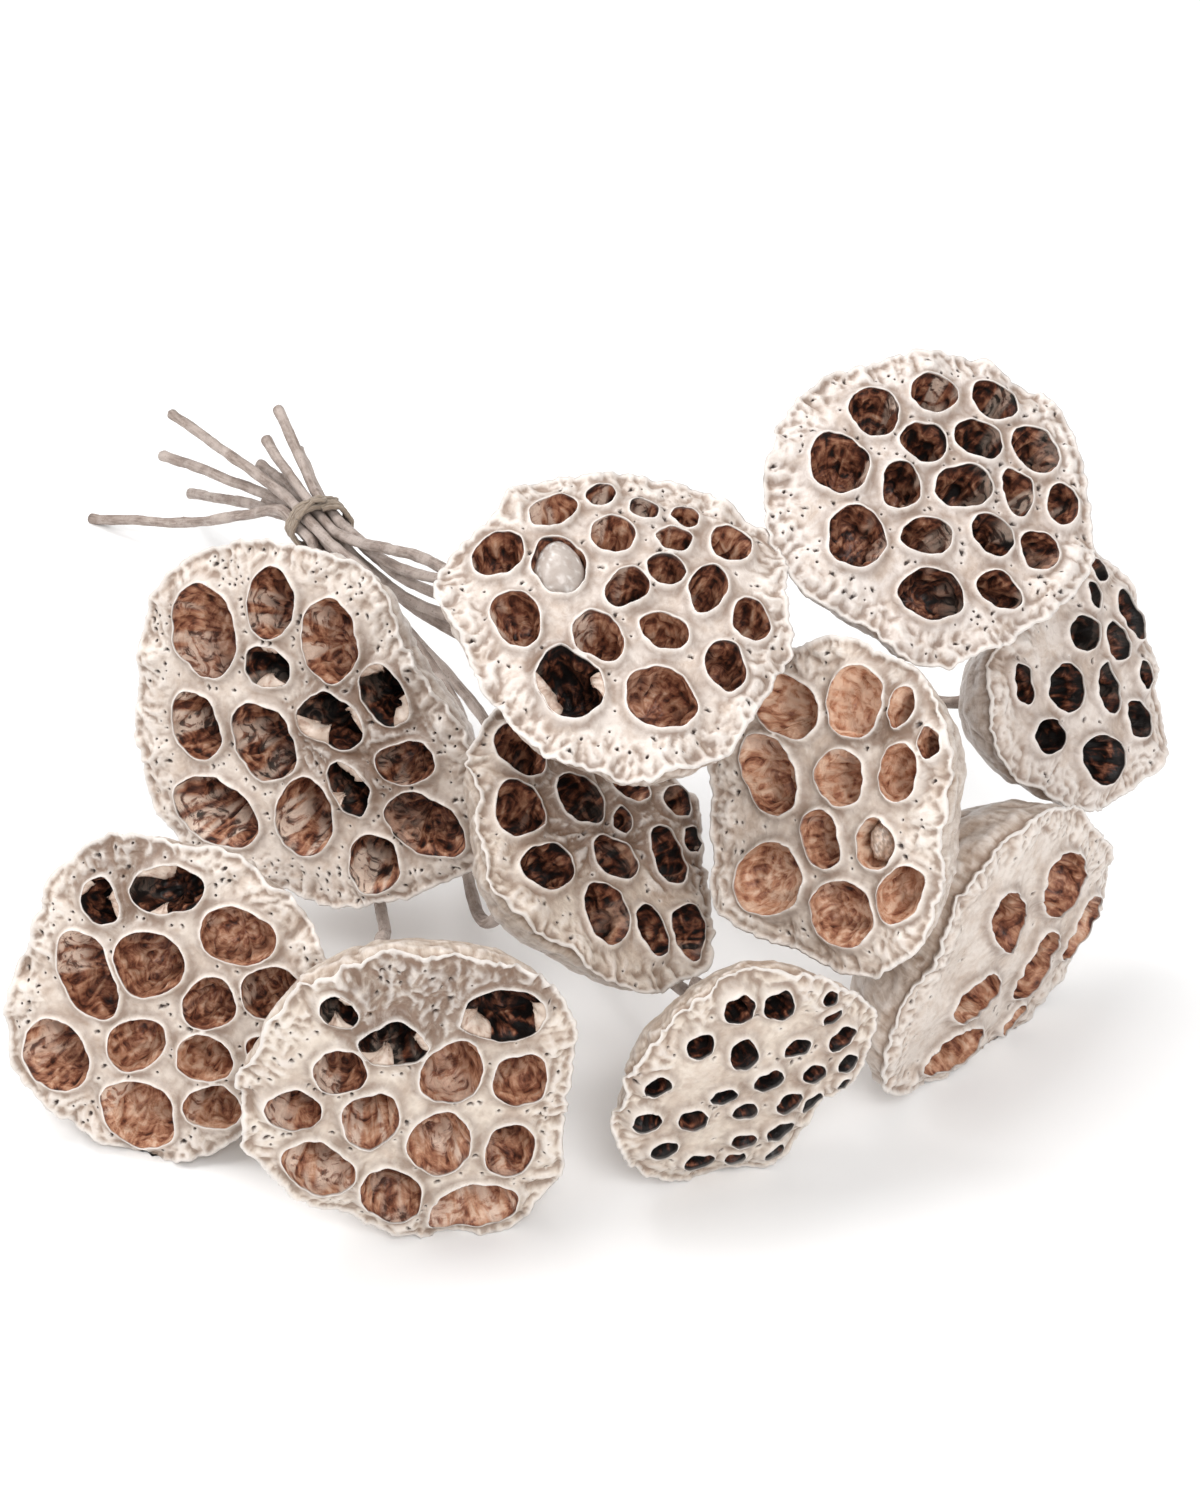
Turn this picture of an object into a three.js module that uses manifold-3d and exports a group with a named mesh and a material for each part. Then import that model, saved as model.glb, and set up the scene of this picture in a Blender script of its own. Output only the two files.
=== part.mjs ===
// A bunch of ten dried lotus pods lying on its side, tied once round the stems.
// Millimetres, +Z up. The bunch rests on z = 0, with the pods towards -Y and the cut stem ends towards +Y.

import * as THREE from "three";
import { mergeVertices } from "three/addons/utils/BufferGeometryUtils.js";
import Module from "manifold-3d";

const wasm = await Module();
wasm.setup();

// Driving dimensions, mm unless the comment says otherwise.
const GAP = 0.3; // air left between two pieces that meet
const NECK_SHARE = 0.13; // radius of a pod's neck, as a share of its rim
const RIM_CORNERS = 28; // corners of a pod's outline
const WALL_STEPS = [0, 0.16, 0.38, 0.6, 0.82, 1]; // shares of its height where the funnel wall is sampled
const WALL_FULLNESS = 1.7; // a larger power keeps the funnel wide further down from its rim
const WALL_ROUNDING = 0.85; // a smaller power rounds its shoulder more
const BORDER = 4; // solid margin between a chamber's mouth and the rim
const WEB = 2; // least thickness of the web between two chambers
const MOUTH_EASE = 1.04; // how far a mouth may spread past its own ellipse where nothing limits it
const MOUTH_BLEND = 12; // a higher power makes sharper corners where a mouth's limits meet
const LEAST_FACING = 0.05; // a neighbour limits only the side of a mouth that faces it at least this much
const MOUTH_CORNERS = 12;
const SMALL_MOUTH_CORNERS = 8;
const SMALL_MOUTH = 10; // mean width under which a mouth counts as small
const CHAMBER_DEPTH_SHARE = 0.42; // depth of a chamber, as a share of the pod's height
const CHAMBER_TAPER = 0.68; // size of a chamber's floor, as a share of its mouth
const CHAMBER_LEAN = 0.16; // how far a chamber leans to the pod's axis, as a share of its distance from it
const MOUTH_OVERCUT = 2; // height of the chamber cutters above the face
const LEAST_RADIUS = 2; // no mouth is narrower than this, however close the rim is
const REACH_STEP = 0.25; // step of the search for the border
const SEED_SLIMNESS = 0.72; // width of a loose seed, as a share of its length
const SEED_SIDES = 12;
const SEED_ROWS = 8;
const STEM_DIAMETER = 4;
const STEM_SIDES = 6;
const STEM_STEP = 12; // length of one straight stretch of a stem
const STEM_LEAD = 10; // length over which a stem still follows the axis of its pod
const STEM_PITCH = 4.8; // spacing of the stems inside the tie
const SLAB = { side: 1000, depth: 100 }; // the block of table that presses the resting pieces flat
const TIE = { at: [-96, 185, 45], azimuth: 25, width: 9, thickness: 1.8, clearance: 0.4, lead: 13 };

// A pod: the middle of its face, the way the face looks (azimuth from -Y towards +X, elevation above the
// table, in degrees), the radii of its rim at equal angles, and its chambers on the face as
// [x, y, length, width, turn]. Where a chamber still holds a seed, seed gives the chamber's index, the seed's
// length and how far its middle lies below the face.
const PODS = {
  a: {
    at: [-88, 0, 76], azimuth: -24, elevation: 16, height: 48,
    rim: [60, 49, 45, 53, 56, 57, 62, 61, 54, 56, 59, 53, 51, 54, 59, 66],
    chambers: [
      [-33, 24, 29, 21, 110], [-12, 37, 23, 15, 90], [8, 30, 27, 17, 105], [-12, 18, 13, 9, 20],
      [-33, -5, 22, 16, 115], [-10, -5, 27, 19, 130], [11, 7, 19, 14, 175], [27, 17, 17, 9, 135],
      [-24, -30, 31, 20, 170], [5, -24, 26, 18, 90], [36, -1, 20, 12, 15], [19, -13, 18, 7, 125],
      [43, -18, 30, 17, 165], [29, -34, 18, 16, 85],
    ],
  },
  b: {
    at: [-121, -91, 46], azimuth: -11, elevation: 17, height: 44,
    rim: [46, 49, 48, 47, 45, 48, 45, 40, 43, 49, 50, 47, 49, 46, 44, 45],
    chambers: [
      [-20, 5, 29, 16, 115], [-17, 27, 14, 7, 100], [1, 31, 21, 10, 10], [-3, 11, 20, 19, 175],
      [22, 21, 22, 16, 170], [32, 6, 16, 15, 170], [15, 1, 18, 13, 40], [-6, -13, 20, 13, 45],
      [-29, -20, 22, 19, 100], [14, -15, 17, 13, 15], [32, -12, 13, 12, 30], [-5, -34, 23, 19, 150],
      [16, -29, 17, 13, 15],
    ],
  },
  c: {
    at: [-48, -142, 49], azimuth: 10, elevation: -3, height: 44,
    rim: [41, 46, 50, 49, 49, 51, 50, 47, 46, 45, 43, 45, 49, 54, 51, 42],
    chambers: [
      [-33, 4, 15, 13, 155], [-20, 15, 17, 12, 115], [-6, 22, 19, 10, 170], [23, 27, 22, 11, 170],
      [9, 12, 20, 16, 80], [27, 6, 17, 14, 95], [-13, -2, 20, 14, 75], [5, -12, 22, 16, 95],
      [24, -18, 19, 13, 85], [-27, -17, 22, 16, 130], [-8, -29, 24, 15, 110], [15, -37, 24, 16, 165],
      [-20, 35, 8, 7, 100],
    ],
  },
  d: {
    at: [6, -68, 155], azimuth: 13, elevation: 59, height: 42, seed: { chamber: 5, length: 13, depth: 2.4 },
    rim: [46, 49, 47, 44, 45, 47, 45, 51, 46, 42, 46, 47, 50, 49, 44, 45],
    chambers: [
      [-13, 32, 15, 9, 25], [1, 35, 8, 7, 25], [11, 29, 8, 6, 155], [22, 26, 8, 6, 170],
      [-30, 21, 15, 12, 45], [-15, 14, 18, 14, 85], [1, 22, 12, 11, 125], [17, 19, 11, 7, 0],
      [33, 16, 12, 10, 100], [13, 9, 11, 9, 5], [2, 5, 15, 10, 30], [23, 2, 16, 9, 65],
      [33, -8, 13, 10, 95], [-29, 0, 18, 11, 100], [-9, -9, 17, 12, 105], [-18, -20, 21, 14, 105],
      [9, -9, 14, 10, 140], [4, -28, 20, 16, 140], [23, -21, 15, 10, 90],
    ],
  },
  e: {
    at: [0, -56, 76], azimuth: 56, elevation: 49, height: 38,
    rim: [41, 40, 40, 44, 47, 44, 39, 41, 43, 40, 42, 46, 48, 40, 36, 39],
    chambers: [
      [-4, 33, 17, 16, 90], [-19, 20, 17, 15, 55], [1, 12, 17, 16, 100], [21, 7, 13, 12, 100],
      [9, 0, 10, 6, 30], [31, -6, 10, 9, 175], [-24, 3, 17, 13, 150], [-3, -7, 16, 12, 105],
      [15, -16, 19, 12, 65], [-17, -17, 19, 15, 50], [-8, -29, 17, 9, 70], [4, -37, 17, 13, 55],
      [27, -19, 11, 8, 70],
    ],
  },
  f: {
    at: [61, -84, 104], azimuth: -41, elevation: 20, height: 42, seed: { chamber: 8, length: 10, depth: 4 },
    rim: [38, 38, 43, 46, 46, 46, 43, 41, 40, 39, 45, 46, 42, 45, 48, 43],
    chambers: [
      [-19, 22, 23, 15, 170], [1, 31, 19, 18, 130], [15, 35, 16, 6, 95], [27, 29, 13, 6, 115],
      [-19, 3, 25, 18, 135], [3, 10, 16, 14, 140], [20, 18, 16, 12, 95], [3, -8, 17, 12, 125],
      [19, -3, 14, 11, 95], [-11, -25, 27, 18, 45], [14, -25, 20, 17, 25], [30, -13, 20, 11, 75],
    ],
  },
  g: {
    at: [92, -23, 165], azimuth: 22, elevation: 50, height: 42,
    rim: [47, 49, 48, 45, 44, 45, 46, 49, 48, 48, 43, 49, 45, 44, 46, 46],
    chambers: [
      [-10, 28, 16, 13, 55], [9, 30, 15, 11, 170], [26, 25, 13, 12, 135], [-25, 15, 18, 16, 70],
      [1, 16, 14, 12, 15], [17, 14, 14, 12, 145], [33, 8, 15, 12, 105], [-10, 5, 15, 11, 55],
      [8, 1, 19, 12, 5], [23, -3, 16, 9, 75], [35, -9, 12, 9, 75], [-27, -7, 18, 16, 60],
      [-8, -11, 15, 10, 165], [11, -14, 13, 11, 135], [24, -21, 12, 11, 70], [-11, -27, 18, 14, 165],
      [8, -30, 14, 9, 140],
    ],
  },
  h: {
    at: [139, -9, 98], azimuth: 51, elevation: 28, height: 38,
    rim: [38, 40, 42, 40, 35, 34, 36, 42, 44, 39, 36, 38, 35, 39, 41, 35],
    chambers: [
      [23, 26, 9, 6, 140], [15, 21, 8, 6, 75], [29, 9, 18, 8, 100], [5, 13, 16, 9, 160],
      [18, 5, 14, 9, 110], [-27, 11, 13, 7, 85], [-10, 3, 16, 12, 165], [7, -6, 13, 12, 90],
      [26, -9, 9, 7, 95], [-24, -6, 15, 9, 160], [16, -19, 12, 11, 155], [-5, -22, 19, 14, 150],
    ],
  },
  i: {
    at: [115, -60, 40], azimuth: 47, elevation: -10, height: 44,
    rim: [52, 46, 43, 46, 50, 50, 47, 41, 47, 55, 50, 42, 41, 45, 50, 57],
    chambers: [
      [20, 16, 34, 17, 125], [-5, 15, 36, 12, 120], [39, -12, 25, 16, 90], [17, -14, 27, 17, 90],
      [-12, -10, 25, 14, 160], [-17, -28, 27, 15, 175], [14, -34, 14, 7, 30],
    ],
  },
  j: {
    at: [39, -121, 41], azimuth: 21, elevation: -13, height: 27,
    rim: [37, 39, 38, 40, 43, 39, 36, 38, 35, 40, 41, 42, 43, 43, 32, 35],
    chambers: [
      [-5, 31, 11, 8, 95], [6, 29, 12, 8, 120], [-16, 21, 10, 7, 90], [-3, 14, 11, 8, 110],
      [13, 11, 9, 6, 160], [27, 9, 11, 8, 85], [30, -2, 7, 5, 70], [6, 1, 10, 8, 120],
      [20, -2, 9, 6, 130], [-27, 8, 9, 7, 120], [-7, -2, 9, 6, 140], [30, -11, 6, 4, 50],
      [13, -11, 8, 8, 0], [21, -14, 7, 5, 50], [-28, -7, 10, 7, 110], [-15, -9, 10, 7, 145],
      [0, -11, 9, 5, 155], [12, -23, 8, 7, 10], [1, -23, 8, 6, 140], [-22, -20, 8, 7, 170],
      [-11, -29, 9, 7, 155], [0, -32, 6, 5, 160], [12, -33, 6, 5, 35], [22, 20, 6, 4, 45],
      [21, 28, 5, 4, 125],
    ],
  },
};

// A stem: its place in the tie, in rows of three, four and three, the points it passes on its way from its
// pod to the tie, and those on its way from the tie to its cut end.
const STEMS = {
  a: { column: -1, row: 1, way: [[-62, 80, 58], [-73, 130, 53]], tail: [[-155, 269, 45]] },
  b: {
    column: -1.5, row: 0, way: [[-112, -8, 24], [-117, 50, 22], [-110, 120, 33]],
    tail: [[-145, 235, 19], [-188, 271, 1.5]],
  },
  c: {
    column: -1, row: -1, way: [[-62, -62, 44], [-64, -22, 22], [-76, 40, 21], [-90, 110, 32]],
    tail: [[-126, 234, 27], [-151, 274, 10]],
  },
  d: {
    column: 0, row: 1, way: [[-3, -33, 107], [-8, -14, 106], [-18, 30, 92], [-50, 92, 80]],
    tail: [[-118, 239, 50]],
  },
  e: { column: -0.5, row: 0, way: [[-34, -28, 28], [-41, 10, 24], [-45, 83, 32]], tail: [[-159, 269, 28]] },
  f: {
    column: 0.5, row: 0, way: [[93, -32, 83], [82, 0, 78], [45, 60, 66], [-55, 119, 49]],
    tail: [[-121, 242, 39]],
  },
  g: { column: 1, row: 1, way: [[70, 25, 114], [40, 75, 92], [-53, 116, 63]], tail: [[-114, 245, 59]] },
  h: { column: 1.5, row: 0, way: [[85, 40, 66], [40, 85, 57], [-50, 116, 56]], tail: [[-107, 237, 47]] },
  i: { column: 1, row: -1, way: [[55, 5, 50], [20, 60, 46], [-42, 109, 43]], tail: [[-111, 233, 33]] },
  j: {
    column: 0, row: -1, way: [[28, -86, 43], [27, -78, 36], [22, -60, 28], [2, -15, 24], [-43, 111, 20]],
    tail: [[-118, 228, 31]],
  },
};

const FINISHES = {
  pod: { color: "#d8cec3", roughness: 0.55 },
  stem: { color: "#8c7d74", roughness: 0.8 },
  tie: { color: "#75675e", roughness: 0.9 },
  seed: { color: "#ebe6dd", roughness: 0.4 },
};

const rad = THREE.MathUtils.degToRad;

// Solids and geometry

function solidFrom(geometry) {
  const bare = geometry.clone();
  bare.deleteAttribute("normal");
  bare.deleteAttribute("uv");
  const merged = mergeVertices(bare, 1e-4);
  const vertProperties = merged.attributes.position.array;
  const triVerts = new Uint32Array(merged.index.array);
  return new wasm.Manifold(new wasm.Mesh({ numProp: 3, vertProperties, triVerts }));
}

function geometryFrom(solid) {
  const { vertProperties, triVerts } = solid.getMesh();
  const indexed = new THREE.BufferGeometry();
  indexed.setAttribute("position", new THREE.BufferAttribute(vertProperties, 3));
  indexed.setIndex(new THREE.BufferAttribute(triVerts, 1));
  const flat = indexed.toNonIndexed();
  flat.computeVertexNormals();
  return flat;
}

// A closed body round the Z axis: each [share, z] of the profile is a ring of radiusAt(angle) * share.
function loft(profile, radiusAt, corners) {
  const points = profile.map(([share, z]) => new THREE.Vector2(share, z));
  const geometry = new THREE.LatheGeometry(points, corners).rotateX(Math.PI / 2);
  const position = geometry.attributes.position;
  for (let k = 0; k < position.count; k++) {
    const [x, y] = [position.getX(k), position.getY(k)];
    const radius = Math.hypot(x, y) < 1e-6 ? 0 : radiusAt(Math.atan2(y, x));
    position.setXY(k, x * radius, y * radius);
  }
  return geometry;
}

// Puts a mesh where its local +Z looks along the azimuth and elevation, and its local X stays level.
function place(mesh, [x, y, z], azimuth, elevation) {
  mesh.position.set(x, y, z);
  mesh.rotation.set(rad(90 - elevation), 0, rad(azimuth), "ZXY");
  mesh.updateMatrixWorld();
}

function named(name, geometry, kind) {
  const mesh = new THREE.Mesh(geometry, new THREE.MeshStandardMaterial(FINISHES[kind]));
  mesh.name = name;
  return mesh;
}

// Presses flat whatever of a placed mesh reaches the table.
function pressOnTable(mesh) {
  const slab = new THREE.BoxGeometry(SLAB.side, SLAB.side, SLAB.depth).translate(0, 0, -SLAB.depth / 2);
  slab.applyMatrix4(mesh.matrixWorld.clone().invert());
  mesh.geometry = geometryFrom(solidFrom(mesh.geometry).subtract(solidFrom(slab)));
}

// Pods

// The radius of a pod's outline at any angle: a smooth closed curve through its rim radii.
function rimRadius(rim) {
  const corners = rim.map((radius, k) => {
    const angle = (2 * Math.PI * k) / rim.length;
    return new THREE.Vector3(radius * Math.cos(angle), radius * Math.sin(angle), 0);
  });
  const curve = new THREE.CatmullRomCurve3(corners, true, "centripetal");
  return (angle) => curve.getPoint(THREE.MathUtils.euclideanModulo(angle / (2 * Math.PI), 1)).length();
}

function funnelShare(share) {
  return NECK_SHARE + (1 - NECK_SHARE) * (1 - share ** WALL_FULLNESS) ** WALL_ROUNDING;
}

// How far a point of the face is from the border, in a direction along the face.
function roomTowards(x, y, dx, dy, rimAt) {
  const inside = (reach) => {
    const [atX, atY] = [x + reach * dx, y + reach * dy];
    return Math.hypot(atX, atY) < rimAt(Math.atan2(atY, atX)) - BORDER;
  };
  let reach = LEAST_RADIUS;
  while (inside(reach)) reach += REACH_STEP;
  return reach;
}

function ellipseRadius([, , length, width, turn], angle) {
  const local = angle - rad(turn);
  return 1 / Math.hypot(Math.cos(local) / (length / 2), Math.sin(local) / (width / 2));
}

// The radius of one chamber's mouth at any angle: an ellipse, drawn in where a neighbour or the rim is close.
function mouthRadius(chamber, neighbours, rimAt) {
  const [x, y] = chamber;
  const walls = neighbours.map((other) => {
    const [gapX, gapY] = [other[0] - x, other[1] - y];
    const apart = Math.hypot(gapX, gapY);
    const way = Math.atan2(gapY, gapX);
    const own = ellipseRadius(chamber, way);
    const reach = ((apart - WEB) * own) / (own + ellipseRadius(other, way + Math.PI));
    return { way, reach };
  });
  return (angle) => {
    const limits = [MOUTH_EASE * ellipseRadius(chamber, angle)];
    for (const { way, reach } of walls) {
      const facing = Math.cos(angle - way);
      if (facing > LEAST_FACING) limits.push(reach / facing);
    }
    limits.push(roomTowards(x, y, Math.cos(angle), Math.sin(angle), rimAt));
    return limits.reduce((sum, limit) => sum + limit ** -MOUTH_BLEND, 0) ** (-1 / MOUTH_BLEND);
  };
}

function chamberCutter(chamber, neighbours, rimAt, depth) {
  const [x, y, length, width] = chamber;
  const profile = [[0, -depth], [CHAMBER_TAPER, -depth], [1, MOUTH_OVERCUT], [0, MOUTH_OVERCUT]];
  const corners = Math.sqrt(length * width) > SMALL_MOUTH ? MOUTH_CORNERS : SMALL_MOUTH_CORNERS;
  const cutter = loft(profile, mouthRadius(chamber, neighbours, rimAt), corners);
  const lean = CHAMBER_LEAN / depth;
  const shear = new THREE.Matrix4().makeShear(0, 0, 0, 0, lean * x, lean * y);
  return cutter.applyMatrix4(shear).translate(x, y, 0);
}

function makePod(name, { at, azimuth, elevation, height, rim, chambers }) {
  const rimAt = rimRadius(rim);
  const wall = WALL_STEPS.map((share) => [funnelShare(share), -share * height]).reverse();
  let solid = solidFrom(loft([[0, -height], ...wall, [0, 0]], rimAt, RIM_CORNERS));
  for (const chamber of chambers) {
    const neighbours = chambers.filter((other) => other !== chamber);
    const cutter = chamberCutter(chamber, neighbours, rimAt, CHAMBER_DEPTH_SHARE * height);
    solid = solid.subtract(solidFrom(cutter));
  }
  const pod = named("pod_" + name, geometryFrom(solid), "pod");
  place(pod, at, azimuth, elevation);
  pressOnTable(pod);
  return pod;
}

function makeSeed(name, { at, azimuth, elevation, height, chambers, seed }) {
  const [x, y, , , turn] = chambers[seed.chamber];
  const lean = (CHAMBER_LEAN * seed.depth) / (CHAMBER_DEPTH_SHARE * height);
  const width = SEED_SLIMNESS * seed.length;
  const body = new THREE.SphereGeometry(0.5, SEED_SIDES, SEED_ROWS).scale(seed.length, width, width);
  body.rotateZ(rad(turn)).translate(x * (1 - lean), y * (1 - lean), -seed.depth);
  const mesh = named("seed_" + name, body, "seed");
  place(mesh, at, azimuth, elevation);
  return mesh;
}

// Stems and tie

const tieFrame = new THREE.Object3D();
place(tieFrame, TIE.at, TIE.azimuth, 0);
const ROW_HEIGHT = STEM_PITCH * Math.sin(Math.PI / 3);

// A point of a stem's straight run through the tie, so far in front of the tie's middle.
function slotPoint({ column, row }, inFront) {
  return new THREE.Vector3(column * STEM_PITCH, row * ROW_HEIGHT, inFront).applyMatrix4(tieFrame.matrixWorld);
}

function stemRoute(stem, { at, azimuth, elevation, height }) {
  const podFrame = new THREE.Object3D();
  place(podFrame, at, azimuth, elevation);
  const below = (depth) => new THREE.Vector3(0, 0, -depth).applyMatrix4(podFrame.matrixWorld);
  return new THREE.CatmullRomCurve3([
    below(height + GAP),
    below(height + GAP + STEM_LEAD),
    ...stem.way.map((point) => new THREE.Vector3(...point)),
    slotPoint(stem, TIE.lead),
    slotPoint(stem, 0),
    slotPoint(stem, -TIE.lead),
    ...stem.tail.map((point) => new THREE.Vector3(...point)),
  ]);
}

function makeStem(name, stem, pod) {
  const route = stemRoute(stem, pod);
  const section = new THREE.Shape().absarc(0, 0, STEM_DIAMETER / 2, 0, 2 * Math.PI);
  const body = new THREE.ExtrudeGeometry(section, {
    steps: Math.round(route.getLength() / STEM_STEP),
    curveSegments: STEM_SIDES / 2,
    extrudePath: route,
  });
  const mesh = named("stem_" + name, body, "stem");
  pressOnTable(mesh);
  return mesh;
}

// The outline round the bundle of stems, so far from the centres of its six corner stems.
function bundleOutline(Outline, radius) {
  const corners = [[1.5, 0], [1, 1], [-1, 1], [-1.5, 0], [-1, -1], [1, -1]];
  const outline = new Outline();
  corners.forEach(([column, row], k) => {
    const start = rad(60 * k - 30);
    outline.absarc(column * STEM_PITCH, row * ROW_HEIGHT, radius, start, start + rad(60));
  });
  return outline.closePath();
}

function makeTie() {
  const inner = STEM_DIAMETER / 2 + TIE.clearance;
  const band = bundleOutline(THREE.Shape, inner + TIE.thickness);
  band.holes.push(bundleOutline(THREE.Path, inner));
  const body = new THREE.ExtrudeGeometry(band, { depth: TIE.width, curveSegments: 2, bevelEnabled: false });
  const tie = named("tie", body.translate(0, 0, -TIE.width / 2), "tie");
  place(tie, TIE.at, TIE.azimuth, 0);
  return tie;
}

// The bunch, moved so that the middle of its footprint is the origin.
const bunch = new THREE.Group();
for (const [name, pod] of Object.entries(PODS)) {
  bunch.add(makePod(name, pod));
  if (pod.seed) bunch.add(makeSeed(name, pod));
}
for (const [name, stem] of Object.entries(STEMS)) {
  bunch.add(makeStem(name, stem, PODS[name]));
}
bunch.add(makeTie());

const box = new THREE.Box3().setFromObject(bunch, true);
const middle = box.getCenter(new THREE.Vector3());
bunch.position.set(-middle.x, -middle.y, -box.min.z);

export default bunch;
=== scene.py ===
"""A bunch of ten dried, pearl-washed lotus pods that lies on its side, its stems tied once with twine."""
import math

import bpy
import numpy as np
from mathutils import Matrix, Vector
from mathutils.geometry import delaunay_2d_cdt


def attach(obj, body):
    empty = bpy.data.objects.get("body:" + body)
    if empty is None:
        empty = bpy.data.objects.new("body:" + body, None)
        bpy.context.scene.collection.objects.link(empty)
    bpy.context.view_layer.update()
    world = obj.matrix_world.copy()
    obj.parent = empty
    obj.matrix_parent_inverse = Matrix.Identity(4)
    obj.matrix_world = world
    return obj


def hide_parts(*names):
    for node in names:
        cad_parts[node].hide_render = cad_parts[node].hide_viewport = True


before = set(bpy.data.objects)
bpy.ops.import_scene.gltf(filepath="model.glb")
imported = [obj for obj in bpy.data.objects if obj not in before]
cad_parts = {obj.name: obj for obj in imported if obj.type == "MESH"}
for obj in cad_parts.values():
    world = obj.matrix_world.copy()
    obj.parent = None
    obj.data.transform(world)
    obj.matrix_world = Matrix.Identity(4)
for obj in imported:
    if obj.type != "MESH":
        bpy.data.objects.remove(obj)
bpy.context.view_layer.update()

MM = 0.001
TAU = 2 * math.pi

# The view: the camera looks down on a point over the middle of the pods, from in front of them.
LOOK_AT = (0.0109, -0.0624, 0.070)
CAMERA_DISTANCE = 1.04
CAMERA_ELEVATION = 32
LENS = 85
SENSOR = 36

# Surface of a pod, mm. Heights are along the way its face looks.
GRID = 0.72  # spacing of the face's free points
ROW_GAP = 0.866
RIM_POINTS = 380
MOUTH_STEP = 0.6  # spacing of the points round a mouth
LIP_RINGS = (0.3, 0.7, 1.25)  # rows of points round a mouth
MOUTH_GROWTH = 0.35  # how far a mouth reaches past the CAD's
MOUTH_WANDER = 1.0
TORN_GROWTH = 1.4
TORN_WANDER = 1.9
LEAST_MOUTH = 0.6  # share of its CAD radius that a mouth keeps
HALF_WEB = 0.5  # what a mouth leaves of the web to its neighbour
RIM_ROOM = 1.5
LIP_HEIGHT = 1.3
LIP_WIDTH = 0.85
WEB_SAG = 0.8
BORDER_WIDTH = 12
CRUMPLE = 1.5
PORE_GAP = 1.6
PORE_DEPTH = 0.9
CUP_RINGS = 22
SIDE_RINGS = 46
RIM_TURN = 3.2  # how far down the lip of the rim goes over into the funnel
SIDE_FOLD = 1.2
SIDE_WRINKLE = 0.2
CUP_WRINKLE = 0.4
CUP_FOLD = 1.6
CUP_DENT = 0.14  # share of the mouth's radius
FLOOR_CRUMPLE = 0.9
FLOOR_FOLD = 1.8
FLAP_THICKNESS = 0.3
MOST_LIGHT = 1.3

# Stems and twine, mm
STEM_RADIUS = 1.8
STEM_STEP = 2.2
TWINE_RADIUS = 0.95
TWINE_TURNS = 5

# What differs from pod to pod: how far the face bulges (mm), how light its chambers are inside (0 to 1), how deep
# they look against the CAD's floors, how crumpled its border is, how many pores it has, the side (degrees) where
# the chambers' walls get pale patches, sprayed wash that partly paints in light, and how much of them (0 to 1), how
# warm its colour is (0 to 1), its random seed, points of the face (mm) whose chambers are torn, and brown patches of
# the face (mm: middle and radius).
FEATURES = ("bulge", "light", "deep", "crumple", "pores", "spray", "sprayed", "warm", "seed", "torn", "brown")
LOOKS = {
    "a": (2.0, 0.62, 0.85, 1.0, 190, 200, 0.9, 0.5, 11, ((-12, 18), (11, 7), (27, 17), (19, -13)), ((22, 6, 26),)),
    "b": (3.0, 0.80, 0.80, 1.0, 90, 130, 1.0, 0.6, 23, ((-17, 27), (1, 31)), ((-12, 34, 16),)),
    "c": (2.5, 0.74, 0.85, 1.2, 90, 250, 0.8, 0.9, 37, ((-6, 22), (23, 27), (-20, 35)), ((0, 38, 26), (24, 34, 16))),
    "d": (5.0, 0.66, 0.85, 1.2, 80, 160, 0.8, 0.3, 41, ((-18, -20),), ((-22, -16, 9),)),
    "e": (2.0, 0.28, 1.10, 1.0, 60, 300, 0.15, 0.9, 53, (), ((6, 14, 30), (24, -12, 22))),
    "f": (2.5, 1.05, 0.60, 0.9, 50, 100, 0.5, 0.6, 67, (), ((8, 32, 14),)),
    "g": (3.0, 0.36, 0.95, 1.1, 130, -20, 0.55, 0.1, 71, (), ()),
    "h": (1.5, 0.00, 1.10, 0.8, 30, 20, 0.05, 0.2, 83, (), ()),
    "i": (1.5, 0.80, 0.90, 0.9, 50, 90, 0.5, 0.4, 97, (), ()),
    "j": (2.5, 0.00, 1.00, 0.9, 40, 30, 0.05, 0.9, 103, (), ()),
}
LOOKS = {letter: dict(zip(FEATURES, values)) for letter, values in LOOKS.items()}


# Noise

def hashed(i, j, k, seed):
    h = (i * 374761393 + j * 668265263 + k * 1442695041 + seed * 974634777) & 0xFFFFFFFF
    h = ((h ^ (h >> 13)) * 1274126177) & 0xFFFFFFFF
    h = ((h ^ (h >> 15)) * 2246822519) & 0xFFFFFFFF
    return (h ^ (h >> 16)) / 0xFFFFFFFF


def noise(points, size, seed):
    """Smooth gradient noise from about -1 to 1 at points (n, 3), with features of the given size in mm."""
    q = points / size + 0.37 * seed
    cell = np.floor(q).astype(np.int64)
    f = q - cell
    fade = f * f * f * (f * (f * 6 - 15) + 10)
    total = np.zeros(len(points))
    for dx in (0, 1):
        for dy in (0, 1):
            for dz in (0, 1):
                corner = (cell[:, 0] + dx, cell[:, 1] + dy, cell[:, 2] + dz)
                turn = TAU * hashed(*corner, seed)
                rise = 2 * hashed(*corner, seed + 977) - 1
                flat = np.sqrt(1 - rise * rise)
                slope = (f[:, 0] - dx) * np.cos(turn) * flat
                slope += (f[:, 1] - dy) * np.sin(turn) * flat
                slope += (f[:, 2] - dz) * rise
                weight = np.abs(1 - dx - fade[:, 0]) * np.abs(1 - dy - fade[:, 1]) * np.abs(1 - dz - fade[:, 2])
                total += weight * slope
    return 1.7 * total


def billow(points, size, seed, octaves=3):
    """Folded noise from 0 (creases) to about 1 (rounded lumps)."""
    total, weight, reach = np.zeros(len(points)), 1.0, 0.0
    for octave in range(octaves):
        total += weight * np.abs(noise(points, size / 1.9**octave, seed + octave))
        reach += weight
        weight *= 0.5
    return np.clip(total / reach * 2.6, 0, 1.5)


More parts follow.
